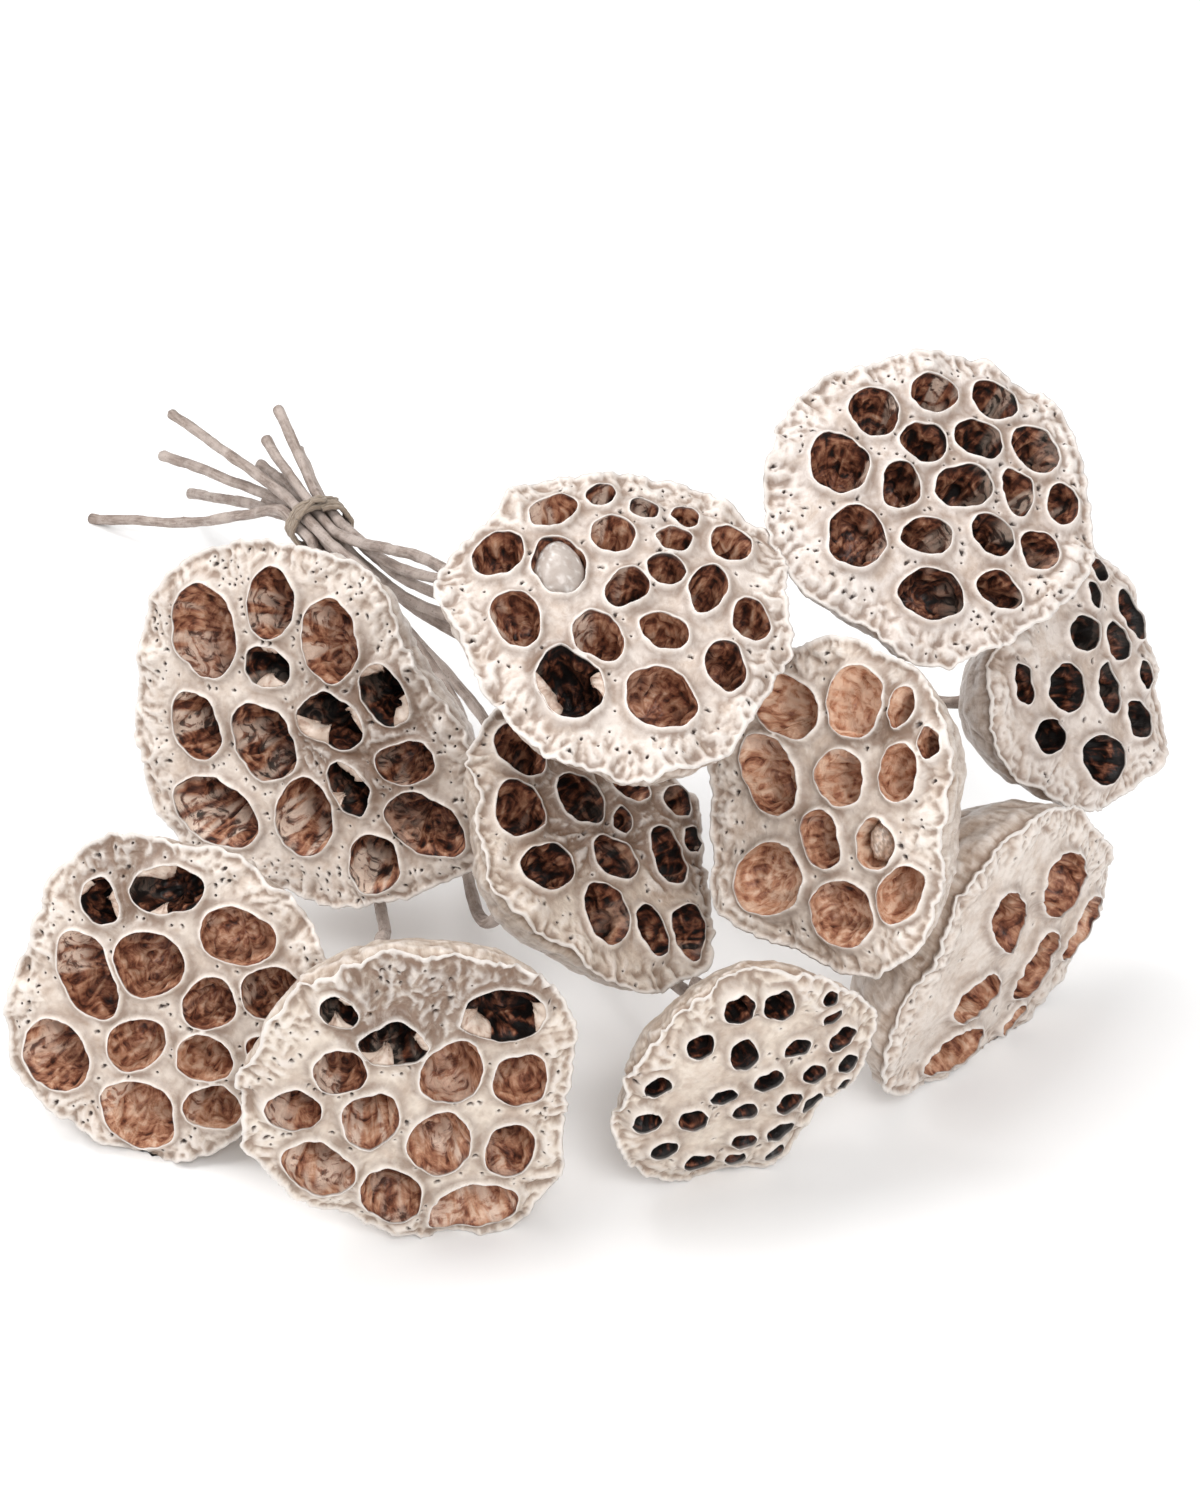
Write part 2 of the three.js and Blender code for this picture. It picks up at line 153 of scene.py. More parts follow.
def crumpled(points, size, seed, octaves=4):
    """Foil-like facets, about -1 to 1: folds upwards and folds downwards take turns from one size to the next."""
    total, weight, sign = np.zeros(len(points)), 1.0, 1.0
    for octave in range(octaves):
        total += sign * weight * (np.abs(noise(points, size / 1.55**octave, seed + octave)) - 0.25)
        weight *= 0.72
        sign = -sign
    return total * 1.5


def smooth(edge0, edge1, x):
    t = np.clip((x - edge0) / (edge1 - edge0), 0, 1)
    return t * t * (3 - 2 * t)


# Angles and points

def compass(angles):
    """Unit vectors (n, 2) at angles."""
    return np.stack([np.cos(angles), np.sin(angles)], axis=1)


def at_height(xy, z=0.0):
    """Points (n, 3) over points of a plane."""
    return np.column_stack([xy, np.full(len(xy), z)])


def round_value(angle, angles, values):
    """The value at any angle of something that is known at angles from 0 up, all round."""
    return np.interp(np.mod(angle, TAU), np.append(angles, TAU), np.append(values, values[0]))


def polar(xy):
    return np.hypot(xy[:, 0], xy[:, 1]), np.arctan2(xy[:, 1], xy[:, 0])


# Reading the CAD nodes

def cad_mesh(node):
    """Corners (n, 3) in mm and triangles (m, 3) of a CAD node, with shared corners merged."""
    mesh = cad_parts[node].data
    mesh.calc_loop_triangles()
    co = np.empty(len(mesh.vertices) * 3)
    mesh.vertices.foreach_get("co", co)
    tris = np.empty(len(mesh.loop_triangles) * 3, dtype=np.int32)
    mesh.loop_triangles.foreach_get("vertices", tris)
    matrix = np.array(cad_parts[node].matrix_world)
    co = (co.reshape(-1, 3) @ matrix[:3, :3].T + matrix[:3, 3]) / MM
    _, first, inverse = np.unique(np.round(co, 2), axis=0, return_index=True, return_inverse=True)
    tris = inverse.reshape(-1)[tris].reshape(-1, 3)
    keep = (tris[:, 0] != tris[:, 1]) & (tris[:, 1] != tris[:, 2]) & (tris[:, 0] != tris[:, 2])
    return co[first], tris[keep]


def boundary_loops(tris):
    """The closed loops of corners round a patch of triangles."""
    edges = {(int(t[k]), int(t[(k + 1) % 3])) for t in tris for k in range(3)}
    after = {}
    for u, v in edges:
        if (v, u) not in edges:
            after.setdefault(u, []).append(v)
    loops = []
    while after:
        start = next(iter(after))
        loop, at = [start], after[start].pop()
        if not after[start]:
            del after[start]
        while at != start:
            loop.append(at)
            following = after[at].pop()
            if not after[at]:
                del after[at]
            at = following
        loops.append(loop)
    return loops


def polygon_area(p):
    q = np.roll(p, -1, axis=0)
    return 0.5 * np.sum(p[:, 0] * q[:, 1] - q[:, 0] * p[:, 1])


def polygon_centre(p):
    q = np.roll(p, -1, axis=0)
    cross = p[:, 0] * q[:, 1] - q[:, 0] * p[:, 1]
    return ((p + q) * cross[:, None]).sum(0) / (3 * cross.sum())


def within(polygon, point):
    """Whether a point lies inside a polygon."""
    p, q = polygon, np.roll(polygon, -1, axis=0)
    crosses = (p[:, 1] > point[1]) != (q[:, 1] > point[1])
    p, q = p[crosses], q[crosses]
    at = p[:, 0] + (point[1] - p[:, 1]) * (q[:, 0] - p[:, 0]) / (q[:, 1] - p[:, 1])
    return np.count_nonzero(at > point[0]) % 2 == 1


SAMPLES = 256
ANGLES = np.arange(SAMPLES) * TAU / SAMPLES


class Outline:
    """A closed curve round a centre: radius_at gives its smoothed radius at any angle."""

    def __init__(self, polygon, rounding):
        self.centre = polygon_centre(polygon)
        p = polygon - self.centre
        e = np.roll(p, -1, axis=0) - p
        d = compass(ANGLES)[:, None]
        det = d[..., 0] * e[:, 1] - d[..., 1] * e[:, 0]
        det = np.where(np.abs(det) < 1e-9, 1e-9, det)
        reach = (p[:, 0] * e[:, 1] - p[:, 1] * e[:, 0]) / det
        share = (p[:, 0] * d[..., 1] - p[:, 1] * d[..., 0]) / det
        hit = (reach > 0) & (share > -1e-6) & (share < 1 + 1e-6)
        radius = np.where(hit, reach, 0).max(axis=1)
        waves = np.fft.rfft(radius) * np.exp(-0.5 * (np.arange(SAMPLES // 2 + 1) * rounding) ** 2)
        self.radius = np.fft.irfft(waves, SAMPLES)

    def radius_at(self, angle):
        return round_value(angle, ANGLES, self.radius)


class PodShape:
    """What the CAD says about a pod: its frame, the outline of its face, its mouths, and its wall."""

    def __init__(self, node):
        corners, tris = cad_mesh(node)
        a, b, c = (corners[tris[:, k]] for k in range(3))
        cross = np.cross(b - a, c - a)
        area = np.linalg.norm(cross, axis=1) / 2
        normals = cross / np.maximum(2 * area, 1e-9)[:, None]
        best, face = 0, None
        for k in np.argsort(-area)[:24]:
            same = (normals @ normals[k] > 0.9999) & (np.abs((a - a[k]) @ normals[k]) < 0.08)
            if area[same].sum() > best:
                best, face = area[same].sum(), same
        out = (normals[face] * area[face, None]).sum(0)
        self.out = out / np.linalg.norm(out)
        self.right = np.cross((0, 0, 1), self.out)
        self.right /= np.linalg.norm(self.right)
        self.up = np.cross(self.out, self.right)
        base = corners[tris[face][0, 0]]
        axes = np.stack([self.right, self.up, self.out], axis=1)
        flat = (corners - base) @ axes
        loops = [flat[loop][:, :2] for loop in boundary_loops(tris[face])]
        loops.sort(key=lambda loop: -abs(polygon_area(loop)))
        middle = polygon_centre(loops[0])
        self.origin = base + axes[:, :2] @ middle
        self.axes = axes
        self.rim = Outline(loops[0] - middle, 0.07)
        self.rim.centre = np.zeros(2)
        self.mouths = [Outline(loop - middle, 0.17) for loop in loops[1:] if abs(polygon_area(loop)) > 8]
        self.read_depths((corners - self.origin) @ axes)

    def read_depths(self, local):
        depth = -local[:, 2]
        self.height = depth.max()
        levels, counts = np.unique(np.round(depth[depth > 0.6], 1), return_counts=True)
        self.floor = levels[np.argmax(counts)]
        shares = [(0.0, 1.0)]
        for level, count in zip(levels, counts):
            if count < 12 or abs(level - self.floor) < 0.35:
                continue
            ring = local[np.abs(depth - level) < 0.06]
            radius, angle = polar(ring)
            shares.append((level / self.height, float(np.median(radius / self.rim.radius_at(angle)))))
        self.wall = np.array(shares)

    def wall_share(self, s):
        return np.interp(s, self.wall[:, 0], self.wall[:, 1])

    def to_world(self, local):
        return self.origin + local @ self.axes.T


# Meshes

def add_attribute(mesh, name, values, kind="FLOAT"):
    attribute = mesh.attributes.new(name, kind, "POINT")
    key = "vector" if kind == "FLOAT_VECTOR" else "value"
    attribute.data.foreach_set(key, np.asarray(values, dtype=np.float32).ravel())


def make_object(name, points_mm, faces, material, shade_smooth=True):
    mesh = bpy.data.meshes.new(name)
    mesh.from_pydata((points_mm * MM).tolist(), [], faces)
    mesh.validate()
    mesh.materials.append(material)
    mesh.polygons.foreach_set("use_smooth", [shade_smooth] * len(mesh.polygons))
    obj = bpy.data.objects.new(name, mesh)
    bpy.context.scene.collection.objects.link(obj)
    return obj


def ring_faces(first, second):
    """Quads between two rings of corners, given as arrays of indices."""
    return np.stack([first, np.roll(first, -1), np.roll(second, -1), second], axis=1).tolist()


def fan_faces(ring, tip):
    """Triangles between a ring of corners and a tip."""
    return [[int(a), int(b), int(tip)] for a, b in zip(ring, np.roll(ring, -1))]


def sheet_faces(index, face_up):
    """Quads of a grid of corners."""
    a, b, c, d = index[:-1, :-1], index[:-1, 1:], index[1:, 1:], index[1:, :-1]
    return np.stack([b, a, d, c] if face_up else [a, b, c, d], axis=-1).reshape(-1, 4).tolist()


def sheet_border(index):
    return np.concatenate([index[0, :-1], index[:-1, -1], index[-1, :0:-1], index[:0:-1, 0]])


def cavity_of(mesh, repeats):
    """How far each corner lies below the mean of its neighbours, in mm, after so many rounds of averaging."""
    count = len(mesh.vertices)
    edges = np.empty(2 * len(mesh.edges), dtype=np.int64)
    mesh.edges.foreach_get("vertices", edges)
    u, v = edges.reshape(-1, 2).T
    co, normals = np.empty(3 * count), np.empty(3 * count)
    mesh.vertices.foreach_get("co", co)
    mesh.vertex_normals.foreach_get("vector", normals)
    co, normals = co.reshape(-1, 3) / MM, normals.reshape(-1, 3)
    degree = np.maximum(np.bincount(u, minlength=count) + np.bincount(v, minlength=count), 1)
    results, around = [], co
    for step in range(max(repeats)):
        around = np.stack([
            np.bincount(u, around[v, k], count) + np.bincount(v, around[u, k], count) for k in range(3)
        ], axis=1) / degree[:, None]
        if step + 1 in repeats:
            results.append(((around - co) * normals).sum(axis=1))
    return results


class Surface:
    """Points, faces and point values that grow piece by piece into one mesh."""

    VALUES = ("inside", "wash", "pore", "lip", "halo", "side", "brown")

    def __init__(self):
        self.points, self.faces, self.grain = [], [], []
        self.values = {name: [] for name in self.VALUES}
        self.size = 0

    def add(self, points, grain, **values):
        count = len(points)
        self.points.append(points)
        self.grain.append(grain)
        for name in self.VALUES:
            value = np.asarray(values.get(name, 0.0), dtype=float)
            self.values[name].append(np.broadcast_to(value, (count,)))
        self.size += count
        return np.arange(self.size - count, self.size)

    def build(self, name, shape, warm, material):
        points = shape.to_world(np.concatenate(self.points))
        points[:, 2] = np.maximum(points[:, 2], 0.15)
        obj = make_object(name, points, self.faces, material)
        for key, parts in self.values.items():
            add_attribute(obj.data, key, np.clip(np.concatenate(parts), 0, 1))
        add_attribute(obj.data, "grain", np.concatenate(self.grain) * MM, "FLOAT_VECTOR")
        add_attribute(obj.data, "warm", np.full(len(points), warm))
        # Concave and convex measures: the material darkens creases (partly painted shade) and pales ridges (painted
        # highlight).
        fine, coarse = cavity_of(obj.data, (2, 8))
        hollow = fine / 0.3 + np.clip(coarse, -0.6, 0.6) / 1.0
        add_attribute(obj.data, "crease", np.clip(hollow, 0, 1))
        add_attribute(obj.data, "ridge", np.clip(-hollow, 0, 1))
        return obj


# Pods

class Pod:
    def __init__(self, letter):
        self.letter = letter
        self.look = LOOKS[letter]
        self.seed = self.look["seed"]
        self.random = np.random.default_rng(self.seed)
        self.shape = PodShape("pod_" + letter)
        self.surface = Surface()
        self.mean_rim = self.shape.rim.radius.mean()
        self.mouths = [self.mouth_loop(k, mouth) for k, mouth in enumerate(self.shape.mouths)]
        self.rim_angles = np.arange(RIM_POINTS) * TAU / RIM_POINTS
        self.rim_radius = self.shape.rim.radius_at(self.rim_angles) + self.rim_wave(self.rim_angles)
        self.rim_xy = compass(self.rim_angles) * self.rim_radius[:, None]

    def circle(self, angles):
        return at_height(compass(angles)) * self.mean_rim

    def rim_wave(self, angles):
        """Scallops of the rim in plan."""
        strength = self.look["crumple"]
        coarse = noise(self.circle(angles), 13.0, self.seed + 1)
        fine = billow(self.circle(angles), 6.5, self.seed + 2, 2) - 0.5
        return strength * (2.2 * coarse + 1.0 * fine) - 0.3

    def mouth_loop(self, index, mouth):
        """A mouth and the corners round it: the CAD's outline, slightly ragged, or very ragged where it is torn."""
        count = int(np.clip(TAU * mouth.radius.mean() / MOUTH_STEP, 28, 110))
        angles = np.arange(count) * TAU / count
        radius = mouth.radius_at(angles)
        outline = compass(angles) * radius[:, None]
        ring = at_height(outline, 7.0 * index)
        torn = self.is_torn(mouth)
        growth = MOUTH_GROWTH + MOUTH_WANDER * noise(ring, 7.0, self.seed + 5)
        growth += 0.12 * noise(ring, 1.6, self.seed + 6)
        if torn:
            wander = TORN_GROWTH + TORN_WANDER * noise(ring, 9.0, self.seed + 7)
            growth += wander + 0.3 * noise(ring, 2.6, self.seed + 8)
        growth = np.minimum(growth, self.web_room(mouth, mouth.centre + outline))
        radius = np.maximum(radius + growth, LEAST_MOUTH * radius)
        xy = mouth.centre + compass(angles) * radius[:, None]
        size = radius.mean()
        return dict(index=index, angles=angles, radius=radius, xy=xy, centre=mouth.centre, mean=size, torn=torn)

    def web_room(self, mouth, xy):
        """How far a mouth may grow at points of its outline and still leave a web to its neighbours and the rim."""
        out, angle = polar(xy)
        room = self.shape.rim.radius_at(angle) - out - RIM_ROOM
        for other in self.shape.mouths:
            if other is not mouth:
                edge = other.centre + compass(ANGLES) * other.radius[:, None]
                gap = np.hypot(xy[:, None, 0] - edge[:, 0], xy[:, None, 1] - edge[:, 1]).min(axis=1)
                room = np.minimum(room, 0.5 * gap - HALF_WEB)
        return room

    def is_torn(self, mouth):
        """Whether a mouth is the nearest one to a torn point of this pod."""
        for point in self.look["torn"]:
            nearest = min(self.shape.mouths, key=lambda other: math.dist(other.centre, point))
            if nearest is mouth:
                return True
        return False

    def distances(self, xy):
        """How far points are from the nearest and second nearest mouth, the nearest one, and the room to the rim."""
        near = np.full((len(self.mouths), len(xy)), 1e9)
        for k, mouth in enumerate(self.mouths):
            d = np.hypot(xy[:, None, 0] - mouth["xy"][None, :, 0], xy[:, None, 1] - mouth["xy"][None, :, 1])
            out, angle = polar(xy - mouth["centre"])
            inside = out < round_value(angle, mouth["angles"], mouth["radius"])
            near[k] = np.where(inside, -d.min(axis=1), d.min(axis=1))
        order = np.sort(near, axis=0)
        out, angle = polar(xy)
        rim = round_value(angle, self.rim_angles, self.rim_radius)
        return order[0], order[1], near.argmin(axis=0), rim - out

    def brownness(self, xy):
        """How far points of the face lie in its brown, more crumpled patches."""
        brown = np.zeros(len(xy))
        for x, y, radius in self.look["brown"]:
            gap = np.hypot(xy[:, 0] - x, xy[:, 1] - y) / radius
            gap = gap + 0.25 * noise(np.column_stack([xy, gap]), 7.0, self.seed)
            brown = np.maximum(brown, smooth(1.15, 0.55, gap))
        return brown

    def face_height(self, xy, from_mouth, room):
        """Height of the face over its plane at points of the face."""
        from_mouth = np.maximum(from_mouth, 0)
        flat = at_height(xy)
        out, angle = polar(xy)
        bulge = self.look["bulge"] * (1 - (out / self.mean_rim) ** 2)
        lip = LIP_HEIGHT * np.exp(-((from_mouth / LIP_WIDTH) ** 2))
        lip = lip * (0.8 + 0.7 * noise(flat, 3.5, self.seed + 8))
        sag = WEB_SAG * (1 - np.exp(-((from_mouth / 2.0) ** 2)))
        away = smooth(0.6, 3.2, from_mouth)
        border = np.maximum(smooth(BORDER_WIDTH, 4.5, room), 0.8 * self.brownness(xy)) * away
        warp = np.column_stack([noise(flat, 9.0, self.seed + k) for k in (9, 10, 11)])
        radial = self.circle(angle) * (0.5 + 0.5 * out / self.mean_rim)[:, None]
        radial[:, 2] += 0.5 * out
        folds = crumpled(radial + 3.0 * warp, 11.5, self.seed + 12, 4)
        pinched = crumpled(flat + 1.6 * warp, 4.0, self.seed + 18, 2)
        crumple = CRUMPLE * self.look["crumple"] * border * folds
        texture = (0.12 + 0.28 * border) * smooth(0.4, 2.2, from_mouth) * pinched
        edge = 0.7 * np.exp(-((room / 0.8) ** 2)) - 0.7 * smooth(4.0, 1.4, room)
        wave = 3.0 * border * noise(self.circle(angle), 15.0, self.seed + 20)
        low = 1.7 * noise(flat, 17.0, self.seed + 21)
        return bulge + lip - sag + crumple + texture + edge + wave + low

    def choose_pores(self):
        """Places of the pores: along the middle of the webs and over the border."""
        xy = self.random.uniform(-1.15, 1.15, (self.look["pores"] * 60, 2)) * self.mean_rim
        first, second, _, room = self.distances(xy)
        on_web = (first > 1.0) & (second - first < 0.7) & (room > 3)
        on_border = (first > 1.3) & (room > 1.6) & (room < BORDER_WIDTH)
        keep = np.flatnonzero(on_web | (on_border & (self.random.random(len(xy)) < 0.22)))
        chosen = []
        for k in keep:
            if all(math.dist(xy[k], xy[m]) > PORE_GAP for m in chosen):
                chosen.append(k)
            if len(chosen) >= self.look["pores"]:
                break
        return xy[chosen]

    def face_points(self):
        """All points of the face, and the edges that it must keep. It also sets the pores."""
        sets, edges = [self.rim_xy], []

        def close_loop(start, count):
            edges.extend((start + k, start + (k + 1) % count) for k in range(count))

        close_loop(0, RIM_POINTS)
        at = RIM_POINTS
        for mouth in self.mouths:
            mouth["first"] = at
            close_loop(at, len(mouth["xy"]))
            sets.append(mouth["xy"])
            at += len(mouth["xy"])
        for mouth in self.mouths:
            for offset in LIP_RINGS:
                ring = mouth["centre"] + (mouth["xy"] - mouth["centre"]) * (1 + offset / mouth["radius"])[:, None]
                first, second, nearest, room = self.distances(ring)
                keep = (nearest == mouth["index"]) & (second - first > 0.25) & (room > 0.5) & (first > 0.2)
                sets.append(ring[keep])
        pores = self.choose_pores()
        width = self.random.uniform(0.24, 0.44, len(pores))
        stretch = self.random.uniform(1.0, 1.5, len(pores))
        turn = self.random.uniform(0, math.pi, len(pores))
        self.pores = []
        around = np.arange(7) * TAU / 7
        for k, centre in enumerate(pores):
            for grow in (0.75, 1.2):
                x, y = np.cos(around) * width[k] * stretch[k] * grow, np.sin(around) * width[k] * grow
                c, s = math.cos(turn[k]), math.sin(turn[k])
                sets.append(centre + np.stack([c * x - s * y, s * x + c * y], axis=1))
            sets.append(centre[None])
            self.pores.append((centre, width[k] * stretch[k]))
        span = self.rim_radius.max() + GRID
        row = np.arange(-span, span, GRID)
        grid = np.concatenate([
            np.column_stack([row + (k % 2) * GRID / 2, np.full(len(row), y)])
            for k, y in enumerate(np.arange(-span, span, GRID * ROW_GAP))
        ])
        grid += self.random.uniform(-0.2, 0.2, grid.shape) * GRID
        first, _, _, room = self.distances(grid)
        keep = (first > LIP_RINGS[-1] + 0.2) & (room > 0.6)
        grid = grid[keep]
        gap = np.hypot(grid[:, None, 0] - pores[None, :, 0], grid[:, None, 1] - pores[None, :, 1])
        sets.append(grid[(gap > 1.6 * (width * stretch)[None]).all(axis=1)])
        return np.concatenate(sets), edges

    def pore_values(self, xy):
        dark = np.zeros(len(xy))
        for centre, width in self.pores:
            gap = np.hypot(xy[:, 0] - centre[0], xy[:, 1] - centre[1])
            dark = np.maximum(dark, smooth(1.1 * width, 0.8 * width, gap))
        return dark

    def make_face(self):
        xy, edges = self.face_points()
        result = delaunay_2d_cdt([Vector(p) for p in xy.tolist()], edges, [], 0, 1e-5)
        out_xy = np.array([tuple(v) for v in result[0]])
        source = [ids[0] if ids else -1 for ids in result[3]]
        owner = np.full(len(xy), -1)
        owner[:RIM_POINTS] = 0
        for mouth in self.mouths:
            owner[mouth["first"]:mouth["first"] + len(mouth["xy"])] = 1 + mouth["index"]
        tags = np.array([owner[k] if k >= 0 else -1 for k in source])
        index_of = {k: n for n, k in enumerate(source) if k >= 0}
        first, _, _, room = self.distances(out_xy)
        height = self.face_height(out_xy, first, room)
        dark = self.pore_values(out_xy)
        first = np.maximum(first, 0)
        # Lips of the mouths and of the rim, which the material paints paler: partly wash, partly painted highlight.
        lip = np.exp(-((first / 0.42) ** 2)) + 0.8 * np.exp(-((np.maximum(room, 0) / 0.5) ** 2))
        # Painted shade: a grey band round each mouth just outside its lip, where the lip would shade the web.
        halo = smooth(0.5, 1.0, first) * smooth(3.2, 1.6, first)
        brown = self.brownness(out_xy)
        points = np.column_stack([out_xy, height - PORE_DEPTH * dark])
        ids = self.surface.add(points, points, wash=1.0, pore=dark, lip=lip, halo=halo, brown=brown)
        loops = [self.rim_xy] + [mouth["xy"] for mouth in self.mouths]
        tris = np.array(result[2])
        marks = tags[tris]
        keep = ~((marks[:, 0] >= 0) & (marks[:, 0] == marks[:, 1]) & (marks[:, 0] == marks[:, 2]))
        middles = out_xy[tris].mean(axis=1)
        for k in np.flatnonzero(~keep):
            mark = marks[k, 0]
            keep[k] = within(loops[mark], middles[k]) == (mark == 0)
        self.surface.faces.extend(ids[tris[keep]].tolist())
        rim = [index_of[k] for k in range(RIM_POINTS)]
        self.rim_ids, self.rim_heights = ids[rim], height[rim]
        for mouth in self.mouths:
            around = [index_of[k] for k in range(mouth["first"], mouth["first"] + len(mouth["xy"]))]
            mouth["ids"], mouth["heights"] = ids[around], height[around]

    def make_cup(self, mouth):
        """One chamber: a cup with fibrous walls and a crumpled floor that hangs from its mouth."""
        angles, count, size = mouth["angles"], len(mouth["angles"]), mouth["mean"]
        depth = self.shape.floor * self.look["deep"] * self.random.uniform(0.8, 1.1)
        depth *= min(1.0, 0.55 + size / 12)
        light = np.clip(self.look["light"] + self.random.uniform(-0.16, 0.16), 0, MOST_LIGHT)
        # The chambers' pale patches face this side: sprayed wash, partly painted light on the walls that would be lit.
        spray_and_light_side = math.radians(self.look["spray"] + self.random.uniform(-50, 50))
        spray = min(1.0, 1.6 * self.look["sprayed"] * self.random.uniform(0.0, 1.0) ** 0.7)
        turn = self.random.uniform(0, math.pi)
        dent = self.random.uniform(0, TAU)
        if mouth["torn"]:
            depth, light, spray = depth * 1.3, light * 0.2, spray * 0.4
        shift = np.array([31.0 * mouth["index"], 17.0 * mouth["index"], 0])
        previous, direction = mouth["ids"], compass(angles)
        c, s = math.cos(turn), math.sin(turn)
        for k in range(1, CUP_RINGS):
            phi = k / CUP_RINGS * math.pi / 2
            share = math.cos(phi) ** 0.6
            down = depth * math.sin(phi) ** 1.3
            lean = 1 - 0.16 * down / self.shape.floor
            on_floor = float(smooth(0.3, 0.8, math.sin(phi) ** 3))
            ring = at_height(direction * size, down * 0.3) + shift
            bent = ring + 0.7 * noise(ring, 3.0, self.seed + 30)[:, None]
            wrinkle = billow(bent, 2.6, self.seed + 31, 3) - 0.5
            fold = crumpled(ring * [1, 1, 2], 6.5, self.seed + 45, 2)
            pinch = CUP_DENT * size * np.cos(angles - dent) ** 3
            inward = smooth(0.3, 4.0, down) * (CUP_WRINKLE * wrinkle + CUP_FOLD * fold + pinch)
            radius = mouth["radius"] * share + (0.25 if k < 3 else 0.0) - inward * min(1.0, share * 1.6)
            xy = mouth["centre"] * lean + direction * np.maximum(radius, 0.12 * share * size)[:, None]
            flat = at_height(xy) + shift
            along, across = c * xy[:, 0] + s * xy[:, 1], -s * xy[:, 0] + c * xy[:, 1]
            fibre = at_height(np.column_stack([along * 0.3, across])) + shift
            swirl = 1.3 * noise(flat, 5.0, self.seed + 36)[:, None]
            crumple = billow(fibre + swirl, 2.6, self.seed + 37, 3) - 0.5
            floor_fold = crumpled(flat + swirl, 7.0, self.seed + 46, 2)
            relief = on_floor * (FLOOR_CRUMPLE * crumple + FLOOR_FOLD * floor_fold)
            z = mouth["heights"] * math.exp(-down / 3) - down + relief
            walls = np.column_stack([angles * size, np.full(count, down * 0.25), np.zeros(count)]) + shift
            grain = walls + (fibre - walls) * on_floor + 0.8 * swirl
            patchy = noise(ring, 4.5, self.seed + 40)
            # Pale patches on one side of the chamber: partly sprayed wash, partly painted light.
            wash = spray * smooth(0.45, 0.75, 0.75 * np.cos(angles - spray_and_light_side) + 0.9 * patchy)
            ids = self.surface.add(
                np.column_stack([xy, z]), grain, inside=smooth(0.0, 0.35, down), wash=wash * (1 - 0.9 * on_floor),
                side=light / MOST_LIGHT, lip=smooth(0.5, 0.0, down),
            )
            self.surface.faces.extend(ring_faces(previous, ids))
            previous = ids
        middle = np.append(xy.mean(axis=0), z.mean())[None]
        last = self.surface.add(middle, grain.mean(axis=0)[None], inside=1.0, side=light / MOST_LIGHT)
        self.surface.faces.extend(fan_faces(previous, last[0]))

    def make_flap(self, mouth, angle, half_width, length, droop):
        """A torn piece of web that curls down from a mouth's edge into its chamber: a thin closed sheet."""
        columns, rows = 9, 8
        u, v = (g.ravel() for g in np.meshgrid(np.linspace(-1, 1, columns), np.linspace(0, 1, rows)))
        at = angle + u * half_width / mouth["mean"] * (1 - 0.6 * v**1.5) + 0.4 * v * self.random.uniform(-1, 1)
        edge = round_value(at, mouth["angles"], mouth["radius"])
        height = round_value(at, mouth["angles"], mouth["heights"])
        wave = self.random.uniform(0, TAU)
        bend = droop * v
        radius = edge + 0.3 - length * np.where(bend > 1e-6, np.sin(bend) / droop, v)
        z = height - 0.15 - length * (1 - np.cos(bend)) / droop + 0.5 * (u**2 - 0.4) * v
        z += 0.7 * np.sin(7 * u + wave) * v
        xy = mouth["centre"] + compass(at) * radius[:, None]
        xy += 0.2 * self.random.uniform(-1, 1, xy.shape) * v[:, None]
        top = np.column_stack([xy, z])
        bottom = top - [0, 0, FLAP_THICKNESS]
        upper = self.surface.add(top, top, wash=1.0, inside=0.35, side=0.8).reshape(rows, columns)
        lower = self.surface.add(bottom, top, inside=0.7, side=0.6, wash=0.5).reshape(rows, columns)
        self.surface.faces.extend(sheet_faces(upper, True) + sheet_faces(lower, False))
        self.surface.faces.extend(ring_faces(sheet_border(upper), sheet_border(lower)))

    def make_flaps(self, mouth):
        """A large flap and a small one, nearly opposite."""
        start = self.random.uniform(0, TAU)
        for turn, half_width, length in ((0.0, 0.75, 0.85), (2.6, 0.45, 0.5)):
            droop = self.random.uniform(1.3, 1.8)
            self.make_flap(mouth, start + turn, half_width * mouth["mean"], length * mouth["mean"], droop)

    def make_side(self):
        """The scalloped lip of the rim and the wrinkled funnel down to the neck."""
        angles, count, height = self.rim_angles, RIM_POINTS, self.shape.height
        direction = compass(angles)
        plain = self.shape.rim.radius_at(angles)
        previous = self.rim_ids
        body = RIM_TURN + (height - RIM_TURN) * np.linspace(0, 1, SIDE_RINGS + 1)[1:] ** 1.05
        for down in np.concatenate([[0.4, 0.9, 1.5, 2.2, RIM_TURN], body]):
            s = down / height
            follow = math.exp(-down / 6)
            wall = plain * self.shape.wall_share(s)
            tuck = 0.7 * math.exp(-(((down - 0.5) / 0.6) ** 2)) - 1.7 * float(smooth(0.9, 2.4, down)) * follow
            ring = at_height(direction * plain[:, None] * (0.35 + 0.65 * (1 - s)), 0.3 * down)
            warp = noise(ring, 9.0, self.seed + 50)[:, None]
            coarse = crumpled(ring + 2.6 * warp, 13.0, self.seed + 51, 3)
            fine = billow(ring * [1, 1, 0.5] + 0.8 * warp, 2.6, self.seed + 57, 3) - 0.5
            fade = float(smooth(1.0, 5.0, down)) * (0.2 + 0.8 * min(1.0, (1 - s) * 2.5))
            relief = fade * (SIDE_FOLD * coarse + SIDE_WRINKLE * fine)
            radius = wall + tuck + follow * (self.rim_radius - plain) + relief
            z = self.rim_heights * follow - down + 0.5 * noise(ring, 5.0, self.seed + 60) * fade
            xy = direction * np.maximum(radius, 1.5)[:, None]
            grain = np.column_stack([angles * self.mean_rim, np.full(count, down * 0.3), np.full(count, 5.0)])
